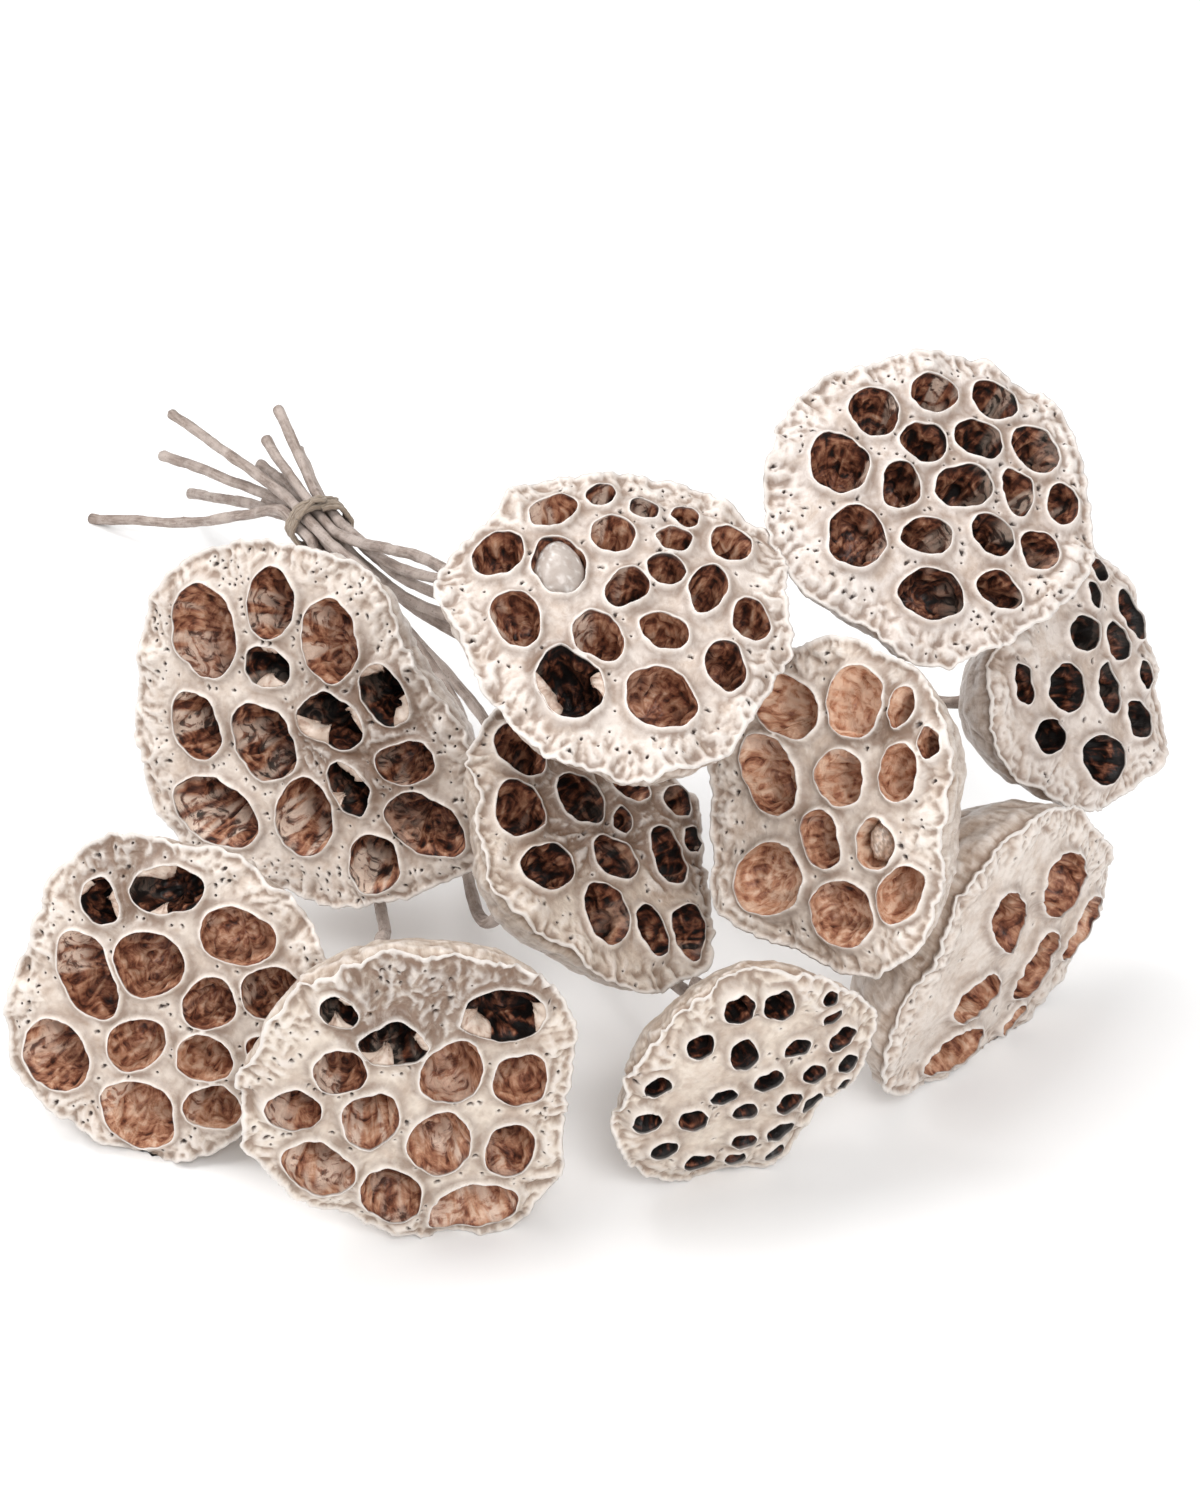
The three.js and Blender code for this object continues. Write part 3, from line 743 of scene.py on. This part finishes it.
            ids = self.surface.add(
                np.column_stack([xy, z]), grain, wash=1 - 0.55 * float(smooth(1.0, 6.0, down)),
                lip=smooth(0.9, 0.3, down), side=smooth(0.9, 3.0, down),
            )
            self.surface.faces.extend(ring_faces(ids, previous))
            previous = ids
        centre = self.surface.add(np.array([[0, 0, -height - 0.3]]), np.zeros((1, 3)), wash=0.4, side=1.0)
        self.surface.faces.extend(fan_faces(previous[::-1], centre[0]))

    def build(self, material):
        self.make_face()
        for mouth in self.mouths:
            self.make_cup(mouth)
        self.make_side()
        for mouth in self.mouths:
            if mouth["torn"]:
                self.make_flaps(mouth)
        obj = self.surface.build("lotus_pod_" + self.letter, self.shape, self.look["warm"], material)
        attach(obj, "root")
        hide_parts("pod_" + self.letter)
        return obj


# Stems, tie and seeds

def spline(points, step):
    """A smooth curve through points, sampled about every step mm."""
    p = np.concatenate([[2 * points[0] - points[1]], points, [2 * points[-1] - points[-2]]])
    out = []
    for k in range(len(points) - 1):
        a, b, c, d = p[k:k + 4]
        count = max(2, round(float(np.linalg.norm(c - b)) / step))
        t = (np.arange(count) / count)[:, None]
        out.append(0.5 * (2 * b + (c - a) * t + (2 * a - 5 * b + 4 * c - d) * t**2 + (3 * b - a - 3 * c + d) * t**3))
    out.append(points[-1:])
    return np.concatenate(out)


def tube(name, path, radius_of, sides, material, bore=0.0):
    """A closed tube along a path. radius_of(lengths, angles) gives its radii; bore is how far its ends are hollowed."""
    ahead = np.gradient(path, axis=0)
    ahead /= np.linalg.norm(ahead, axis=1)[:, None]
    side = np.cross(ahead[0], (0.3, 0.2, 1.0))
    sideways = []
    for way in ahead:
        side = side - way * (side @ way)
        side = side / np.linalg.norm(side)
        sideways.append(side)
    sideways = np.array(sideways)
    third = np.cross(ahead, sideways)
    lengths = np.concatenate([[0], np.cumsum(np.linalg.norm(np.diff(path, axis=0), axis=1))])
    at, turn = np.meshgrid(lengths, np.arange(sides) * TAU / sides, indexing="ij")
    radius = radius_of(at.ravel(), turn.ravel()).reshape(at.shape)[..., None]
    outward = np.cos(turn)[..., None] * sideways[:, None] + np.sin(turn)[..., None] * third[:, None]
    rings = path[:, None] + radius * outward
    points = rings.reshape(-1, 3)
    count = len(path)
    index = np.arange(count * sides).reshape(count, sides)
    faces = [f for k in range(count - 1) for f in ring_faces(index[k], index[k + 1])]
    ends = []
    for k, sign in ((0, 1), (count - 1, -1)):
        inner = path[k] + 0.55 * (rings[k] - path[k]) + sign * ahead[k] * 0.1
        first = count * sides + len(ends)
        ring = np.arange(first, first + sides)
        ends.extend(inner)
        ends.append(path[k] + sign * ahead[k] * bore)
        faces.extend(ring_faces(ring, index[k]) if sign > 0 else ring_faces(index[k], ring))
        faces.extend(fan_faces(ring[::-sign], first + sides))
    points = np.concatenate([points, np.array(ends)])
    points[:, 2] = np.maximum(points[:, 2], 0.1)
    obj = make_object(name, points, faces, material)
    grain = np.column_stack([turn.ravel() * 2, at.ravel() * 0.12, np.zeros(at.size)])
    grain = np.concatenate([grain, np.tile([0, 0, 3], (len(ends), 1))])
    add_attribute(obj.data, "grain", grain * MM, "FLOAT_VECTOR")
    cut = np.concatenate([np.zeros(at.size), np.ones(len(ends))])
    add_attribute(obj.data, "cut", cut)
    fine, coarse = cavity_of(obj.data, (2, 6))
    add_attribute(obj.data, "crease", np.clip(fine / 0.1 + coarse / 0.4, 0, 1))
    return obj


def centre_line(node, near):
    """The middles of a CAD stem's sections, from the end that is nearest to a point."""
    corners, tris = cad_mesh(node)
    sides = 6
    ring = set(np.argsort(np.linalg.norm(corners - near, axis=1))[:sides].tolist())
    linked = {}
    for t in tris.tolist():
        for u in t:
            linked.setdefault(u, set()).update(t)
    seen, middles = set(ring), [corners[list(ring)].mean(axis=0)]
    while True:
        ring = {v for u in ring for v in linked[u]} - seen
        if len(ring) < 3:
            return np.array(middles)
        seen |= ring
        middles.append(corners[list(ring)].mean(axis=0))


def make_stem(letter, shape, material):
    neck = shape.to_world(np.array([[0, 0, -shape.height]]))[0]
    path = centre_line("stem_" + letter, neck)
    path = np.concatenate([[neck + shape.out * 0.8], path])
    path = spline(path, STEM_STEP)
    seed = LOOKS[letter]["seed"]
    total = np.linalg.norm(np.diff(path, axis=0), axis=1).sum()
    neck_radius = shape.rim.radius.mean() * shape.wall[-1, 1]
    wobble = np.column_stack([noise(path, 26.0, seed + k) for k in (70, 71, 72)])
    ends = smooth(0, 20, np.arange(len(path)))
    path = path + 0.55 * wobble * ends[:, None]

    def radius_of(at, turn):
        ring = np.column_stack([2.6 * np.cos(turn), 2.6 * np.sin(turn), at * 0.16]) + seed
        ribs = 0.26 * (billow(ring, 1.9, seed + 74, 2) - 0.5) + 0.22 * noise(ring * [1, 1, 2.2], 5.0, seed + 76)
        flare = (neck_radius - 2.0) * np.exp(-((at / 4.5) ** 1.6))
        knots = 0.3 * smooth(0.55, 0.85, noise(np.column_stack([at, 0 * at, 0 * at]), 9.0, seed + 78))
        return STEM_RADIUS + ribs + flare + knots + 0.25 * smooth(total - 5, total, at)

    obj = tube("lotus_stem_" + letter, path, radius_of, 14, material, bore=0.9)
    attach(obj, "root")
    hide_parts("stem_" + letter)


def tie_shape():
    """The tie's middle, its axis along the stems, two directions across it, its width, and its outer outline."""
    corners, tris = cad_mesh("tie")
    a, b, c = (corners[tris[:, k]] for k in range(3))
    cross = np.cross(b - a, c - a)
    weight = np.maximum(np.linalg.norm(cross, axis=1), 1e-9)
    axis = np.linalg.eigh((cross[:, :, None] * cross[:, None] / weight[:, None, None]).sum(axis=0))[1][:, 0]
    axis *= -np.sign(axis[1])
    across = np.cross((0, 0, 1), axis)
    across /= np.linalg.norm(across)
    axes = np.stack([across, np.cross(axis, across), axis], axis=1)
    middle = (corners.min(axis=0) + corners.max(axis=0)) / 2
    local = (corners - middle) @ axes
    width = np.ptp(local[:, 2])
    radius, angle = polar(local)
    reach = np.array([(radius * np.cos(angle - turn)).max() for turn in ANGLES])
    out = compass(ANGLES)
    slope = np.gradient(np.concatenate([reach[-1:], reach, reach[:1]]))[1:-1] / (TAU / SAMPLES)
    outline = out * reach[:, None] + out[:, ::-1] * [-1, 1] * slope[:, None]
    return middle, axes, width, outline


def make_tie(material):
    """Turns of two-ply twine with a knot and two short ends."""
    middle, axes, width, outline = tie_shape()
    radius, angle = polar(outline)
    order = np.argsort(angle)
    radius, angle = radius[order], angle[order]

    def on_band(turn, along, lift=0.0):
        r = np.interp(np.mod(turn - angle[0], TAU) + angle[0], angle, radius, period=TAU) - TWINE_RADIUS + lift
        return np.column_stack([np.cos(turn) * r, np.sin(turn) * r, along])

    def plies(at, turn):
        return TWINE_RADIUS * (0.72 + 0.30 * np.abs(np.cos(turn - at * 1.15))) + 0.05 * np.cos(turn * 5 - at * 5)

    turn = np.linspace(0, TAU * TWINE_TURNS, 90 * TWINE_TURNS) + math.pi / 2
    along = (turn - turn[0]) / (TAU * TWINE_TURNS) * (width - 2 * TWINE_RADIUS) - width / 2 + TWINE_RADIUS
    along += 0.35 * np.sin(turn * 0.63)
    lift = 0.25 * np.sin(turn * 1.37) ** 2
    wraps = on_band(turn, along, lift)
    top = on_band(np.array([math.pi / 2]), np.array([0.0]), 1.6)[0]
    loop = np.array([
        (-9, -3.6, 3.2), (-5.5, -1.2, 1.8), (-2.2, 0.4, 0.5), (0.4, 1.0, -1.1), (2.2, 0.5, 0.2), (1.2, 0.9, 1.7),
        (-1.0, 1.3, 1.2), (-1.9, 0.8, -0.6), (-0.4, 0.2, -1.9), (1.8, 0.0, -1.4), (4.8, -0.9, -2.0),
        (8.0, -2.9, -3.4),
    ])
    knot = spline(top + loop, 0.6)
    for name, local in (("twine_turns", wraps), ("twine_knot", knot)):
        obj = tube(name, middle + local @ axes.T, plies, 12, material, bore=0.2)
        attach(obj, "root")
        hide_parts("tie")


def make_seed(letter, growth, lift, dents, material):
    """A seed: an egg with a blunt tip and dents, in the place of the CAD's seed."""
    corners, _ = cad_mesh("seed_" + letter)
    middle = (corners.min(axis=0) + corners.max(axis=0)) / 2
    spread = corners - middle
    axes = np.linalg.eigh(spread.T @ spread)[1][:, ::-1]
    if np.linalg.det(axes) < 0:
        axes[:, 0] *= -1
    half = np.abs(spread @ axes).max(axis=0) * growth
    rows, sides = 40, 56
    v, u = np.meshgrid(np.linspace(0.02, math.pi - 0.02, rows), np.arange(sides) * TAU / sides, indexing="ij")
    ball = np.stack([np.cos(v), np.sin(v) * np.cos(u), np.sin(v) * np.sin(u)], axis=-1).reshape(-1, 3)
    seed = LOOKS[letter]["seed"]
    narrow = 1 - 0.16 * ball[:, 0]
    lumps = 1 + dents * crumpled(ball * 6, 5.0, seed + 80, 3) + 0.012 * noise(ball * 6, 1.3, seed + 84)
    points = ball * half * np.column_stack([np.ones(len(ball)), narrow, narrow]) * lumps[:, None]
    points = middle + points @ axes.T + shapes[letter].out * lift
    index = np.arange(rows * sides).reshape(rows, sides)
    faces = [f for k in range(rows - 1) for f in ring_faces(index[k], index[k + 1])]
    faces.append(index[0][::-1].tolist())
    faces.append(index[-1].tolist())
    obj = make_object("lotus_seed_" + letter, points, faces, material)
    fine, coarse = cavity_of(obj.data, (2, 8))
    add_attribute(obj.data, "crease", np.clip(fine / 0.08 + coarse / 0.5, 0, 1))
    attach(obj, "root")
    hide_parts("seed_" + letter)


# Materials

class Shader:
    """A small helper round a material's node tree."""

    def __init__(self, name):
        self.material = bpy.data.materials.new(name)
        self.material.use_nodes = True
        self.tree = self.material.node_tree
        self.tree.nodes.clear()
        self.output = self.tree.nodes.new("ShaderNodeOutputMaterial")
        self.principled = self.tree.nodes.new("ShaderNodeBsdfPrincipled")
        self.tree.links.new(self.principled.outputs[0], self.output.inputs[0])

    def node(self, kind, inputs=None, **settings):
        node = self.tree.nodes.new("ShaderNode" + kind)
        for key, value in settings.items():
            setattr(node, key, value)
        for key, value in (inputs or {}).items():
            self.feed(node.inputs[key], value)
        return node

    def feed(self, socket, value):
        if isinstance(value, bpy.types.NodeSocket):
            self.tree.links.new(value, socket)
        elif isinstance(value, (tuple, list)) and len(value) == 3 and socket.type == "RGBA":
            socket.default_value = (*value, 1)
        else:
            socket.default_value = value

    def attribute(self, name, output="Fac"):
        return self.node("Attribute", attribute_name=name).outputs[output]

    def coords(self):
        return self.node("TexCoord").outputs["Object"]

    def noise(self, vector, scale, detail=4, rough=0.6, distortion=0.0):
        inputs = {"Vector": vector, "Scale": scale, "Detail": detail, "Roughness": rough, "Distortion": distortion}
        return self.node("TexNoise", inputs).outputs["Fac"]

    def ramp(self, value, *stops):
        node = self.node("ValToRGB", {"Fac": value})
        elements = node.color_ramp.elements
        while len(elements) < len(stops):
            elements.new(0.5)
        for element, (position, colour) in zip(elements, stops):
            element.position = position
            element.color = (*colour, 1) if isinstance(colour, tuple) else (colour, colour, colour, 1)
        return node.outputs["Color"]

    def mix(self, factor, a, b, blend="MIX"):
        node = self.node("Mix", data_type="RGBA", blend_type=blend)
        self.feed(node.inputs[0], factor)
        self.feed(node.inputs[6], a)
        self.feed(node.inputs[7], b)
        return node.outputs[2]

    def math(self, operation, a, b=0.0, clamp=False):
        node = self.node("Math", operation=operation, use_clamp=clamp)
        self.feed(node.inputs[0], a)
        self.feed(node.inputs[1], b)
        return node.outputs[0]

    def times(self, a, b, clamp=False):
        return self.math("MULTIPLY", a, b, clamp)

    def plus(self, a, b):
        return self.math("ADD", a, b)

    def bump(self, height, strength, distance):
        return self.node("Bump", {"Height": height, "Strength": strength, "Distance": distance}).outputs["Normal"]

    def finish(self, **inputs):
        for key, value in inputs.items():
            self.feed(self.principled.inputs[key.replace("_", " ")], value)
        return self.material


WASH = (0.69, 0.615, 0.57)
WASH_WARM = (0.68, 0.585, 0.49)
STAIN = (0.50, 0.385, 0.305)
# Painted shade beside the lips.
LIP_SHADE_GREY = (0.44, 0.375, 0.34)
# Paler wash on the lips, brightened further as painted highlight where raised lips and ridges would catch light.
LIP_WHITE_AND_HIGHLIGHT = (0.80, 0.745, 0.70)
TAN = (0.36, 0.26, 0.19)
BROWN = (0.17, 0.10, 0.062)
# Brown of the pod under the wash in creases, deepened with painted shade.
CREASE_BROWN_AND_SHADE = (0.22, 0.135, 0.09)
# Near black for the pores: their dark openings, partly painted shade of the pits.
PORE_DARK_AND_SHADE = (0.035, 0.02, 0.015)
# Sprayed wash inside the chambers, made paler so that it also paints in light on walls that lie in shade.
SPRAYED_AND_LIT = (0.84, 0.67, 0.55)


def pod_material():
    s = Shader("pearl_washed_pod")
    at, grain = s.coords(), s.attribute("grain", "Vector")
    inside, wash, crease, ridge = (s.attribute(name) for name in ("inside", "wash", "crease", "ridge"))
    lip, pore, side, halo = (s.attribute(name) for name in ("lip", "pore", "side", "halo"))
    warm, brown = s.attribute("warm"), s.attribute("brown")
    cloudy = s.noise(at, 140, 5, 0.62, 0.5)
    blotch = s.noise(at, 420, 4, 0.6, 0.8)
    fine = s.noise(at, 1500, 4, 0.6)
    streaks = s.noise(grain, 620, 6, 0.62, 0.6)
    patches = s.noise(at, 135, 5, 0.58, 2.2)

    outer = s.mix(warm, WASH, WASH_WARM)
    outer = s.mix(s.ramp(cloudy, (0.36, 0.75), (0.56, 0.0)), outer, STAIN)
    # Painted shade: a grey band beside each lip, broken up by blotches.
    outer = s.mix(s.times(halo, s.ramp(blotch, (0.35, 0.1), (0.6, 0.5))), outer, LIP_SHADE_GREY)
    outer = s.mix(s.times(s.ramp(blotch, (0.57, 0.0), (0.72, 1.0)), 0.3), outer, TAN)
    outer = s.mix(s.times(brown, s.ramp(patches, (0.46, 0.95), (0.66, 0.4))), outer, BROWN)
    worn = s.times(side, s.ramp(streaks, (0.38, 0.95), (0.62, 0.25)), clamp=True)
    outer = s.mix(s.times(worn, 0.75), outer, TAN)
    # Painted highlight: convex lumps are made paler.
    outer = s.mix(s.times(ridge, 0.5), outer, LIP_WHITE_AND_HIGHLIGHT)
    # Creases darker: partly the brown pod under the wash, partly painted shade.
    outer = s.mix(s.times(crease, 0.75), outer, CREASE_BROWN_AND_SHADE)
    # Lips of the mouths and the rim: a paler rim of wash, partly painted highlight.
    outer = s.mix(s.times(lip, 0.8, clamp=True), outer, LIP_WHITE_AND_HIGHLIGHT)
    # Pores near black: dark openings, partly painted shade.
    outer = s.mix(pore, outer, PORE_DARK_AND_SHADE)

    tone = s.plus(s.times(side, 0.50), s.times(patches, 1.0))
    tone = s.plus(tone, s.times(streaks, 0.40))
    # Painted shade in the chambers' creases and painted highlight on their ridges.
    tone = s.math("SUBTRACT", tone, s.times(crease, 0.14))
    tone = s.plus(tone, s.times(ridge, 0.10))
    tone = s.math("SUBTRACT", tone, 0.40)
    fibres = s.ramp(
        tone, (0.24, (0.004, 0.002, 0.0015)), (0.36, (0.085, 0.024, 0.012)),
        (0.48, (0.29, 0.108, 0.058)), (0.62, (0.56, 0.29, 0.175)), (0.80, (0.80, 0.56, 0.41)),
    )
    # Cream patches inside the chambers: partly sprayed wash, partly painted light.
    sprayed = s.times(wash, s.ramp(patches, (0.42, 0.1), (0.52, 1.0)), clamp=True)
    inner = s.mix(sprayed, fibres, SPRAYED_AND_LIT)
    # Tops of the chamber walls under the lip: paler wash, partly painted highlight.
    inner = s.mix(s.times(lip, 0.8), inner, LIP_WHITE_AND_HIGHLIGHT)
    colour = s.mix(inside, outer, inner)

    rough = s.plus(s.times(inside, 0.15), s.times(cloudy, 0.22))
    rough = s.plus(rough, s.times(crease, 0.2))
    relief = s.plus(s.times(fine, 0.25), s.times(blotch, 0.9))
    relief = s.plus(relief, s.times(streaks, s.plus(inside, 0.2)))
    return s.finish(
        Base_Color=colour, Roughness=s.plus(rough, 0.2), Normal=s.bump(relief, 0.7, 0.0008),
        Coat_Weight=0.25, Coat_Roughness=0.3, Specular_IOR_Level=0.5,
    )


def stem_material():
    s = Shader("dry_stem")
    at, grain, crease, cut = s.coords(), s.attribute("grain", "Vector"), s.attribute("crease"), s.attribute("cut")
    fibres = s.noise(grain, 900, 6, 0.65, 0.3)
    patches = s.noise(at, 90, 4, 0.6, 0.4)
    specks = s.noise(at, 1400, 3, 0.6)
    bark = s.ramp(fibres, (0.32, (0.10, 0.068, 0.052)), (0.5, (0.235, 0.175, 0.145)), (0.68, (0.40, 0.33, 0.285)))
    washed = s.mix(s.ramp(patches, (0.42, 0.15), (0.62, 0.75)), bark, (0.53, 0.45, 0.405))
    washed = s.mix(s.ramp(specks, (0.6, 0.0), (0.72, 0.7)), washed, (0.07, 0.045, 0.035))
    # Painted shade in the grooves between the stem's ribs.
    washed = s.mix(s.times(crease, 0.75), washed, (0.09, 0.06, 0.045))
    colour = s.mix(cut, washed, (0.16, 0.105, 0.07))
    relief = s.plus(fibres, s.times(specks, 0.3))
    return s.finish(
        Base_Color=colour, Roughness=s.ramp(fibres, (0.3, 0.75), (0.7, 0.5)), Normal=s.bump(relief, 0.6, 0.0005),
        Specular_IOR_Level=0.35,
    )


def twine_material():
    s = Shader("hemp_twine")
    grain, crease = s.attribute("grain", "Vector"), s.attribute("crease")
    threads = s.noise(grain, 1600, 5, 0.7, 0.4)
    colour = s.ramp(threads, (0.3, (0.13, 0.095, 0.07)), (0.5, (0.30, 0.235, 0.18)), (0.72, (0.50, 0.42, 0.34)))
    # Painted shade between the plies and turns of the twine.
    colour = s.mix(s.times(crease, 0.8), colour, (0.06, 0.04, 0.03))
    return s.finish(
        Base_Color=colour, Roughness=s.ramp(threads, (0.3, 0.95), (0.7, 0.75)), Normal=s.bump(threads, 0.8, 0.0004),
        Specular_IOR_Level=0.2, Sheen_Weight=0.2,
    )


def seed_material(name, pale, worn):
    s = Shader(name)
    at, crease = s.coords(), s.attribute("crease")
    blotch = s.noise(at, 330, 4, 0.6, 0.6)
    fine = s.noise(at, 1500, 3, 0.6)
    colour = s.mix(s.ramp(blotch, (0.46, 0.0), (0.62, 1.0)), pale, worn)
    # Painted shade in the seed's dents and creases.
    colour = s.mix(s.times(crease, 0.7), colour, (0.22, 0.14, 0.095))
    colour = s.mix(s.ramp(fine, (0.62, 0.0), (0.74, 0.25)), colour, (0.25, 0.17, 0.12))
    return s.finish(
        Base_Color=colour, Roughness=s.ramp(blotch, (0.3, 0.25), (0.7, 0.5)), Normal=s.bump(fine, 0.4, 0.0003),
        Coat_Weight=0.4, Coat_Roughness=0.2,
    )


def floor_material():
    s = Shader("pale_floor")
    haze = s.noise(s.coords(), 3, 2, 0.5)
    return s.finish(Base_Color=s.ramp(haze, (0.0, 0.93), (1.0, 0.96)), Roughness=0.6, Specular_IOR_Level=0.2)


# Stage

def make_stage():
    size = 6.0
    points = np.array([[-size, -size, 0], [size, -size, 0], [size, size, 0], [-size, size, 0]]) / MM
    floor = make_object("floor", points, [[0, 1, 2, 3]], floor_material(), False)
    world = bpy.data.worlds.new("studio")
    bpy.context.scene.world = world
    world.use_nodes = True
    background = world.node_tree.nodes["Background"]
    background.inputs["Color"].default_value = (1.0, 1.0, 1.0, 1)
    background.inputs["Strength"].default_value = 0.54
    for name, at, size, power in (
        ("top", (-0.7, 0.7, 3.0), 2.0, 52),
        ("left", (-2.6, -0.4, 1.9), 1.2, 32),
        ("front", (0.7, -2.6, 2.3), 1.6, 66),
    ):
        light = bpy.data.lights.new(name, "AREA")
        light.size = size
        light.energy = power
        lamp = bpy.data.objects.new(name, light)
        lamp.location = at
        lamp.rotation_euler = (Vector((0, -0.05, 0.05)) - Vector(at)).to_track_quat("-Z", "Y").to_euler()
        bpy.context.scene.collection.objects.link(lamp)
    bpy.context.scene.view_settings.view_transform = "Standard"


def make_camera():
    camera = bpy.data.objects.new("camera", bpy.data.cameras.new("camera"))
    camera.data.lens = LENS
    camera.data.sensor_width = SENSOR
    elevation = math.radians(CAMERA_ELEVATION)
    back = Vector((0, -math.cos(elevation), math.sin(elevation)))
    camera.location = Vector(LOOK_AT) + back * CAMERA_DISTANCE
    camera.rotation_euler = (-back).to_track_quat("-Z", "Y").to_euler()
    bpy.context.scene.collection.objects.link(camera)
    bpy.context.scene.camera = camera


make_camera()
make_stage()
pod_look, stem_look, twine_look = pod_material(), stem_material(), twine_material()
white_seed = seed_material("whitewashed_seed", (0.95, 0.93, 0.90), (0.80, 0.76, 0.73))
brown_seed = seed_material("shrivelled_seed", (0.62, 0.47, 0.37), (0.80, 0.72, 0.66))
shapes = {}
for letter in LOOKS:
    pod = Pod(letter)
    shapes[letter] = pod.shape
    pod.build(pod_look)
    make_stem(letter, pod.shape, stem_look)
make_tie(twine_look)
make_seed("d", 1.45, 3.0, 0.015, white_seed)
make_seed("f", 1.1, 0.6, 0.16, brown_seed)
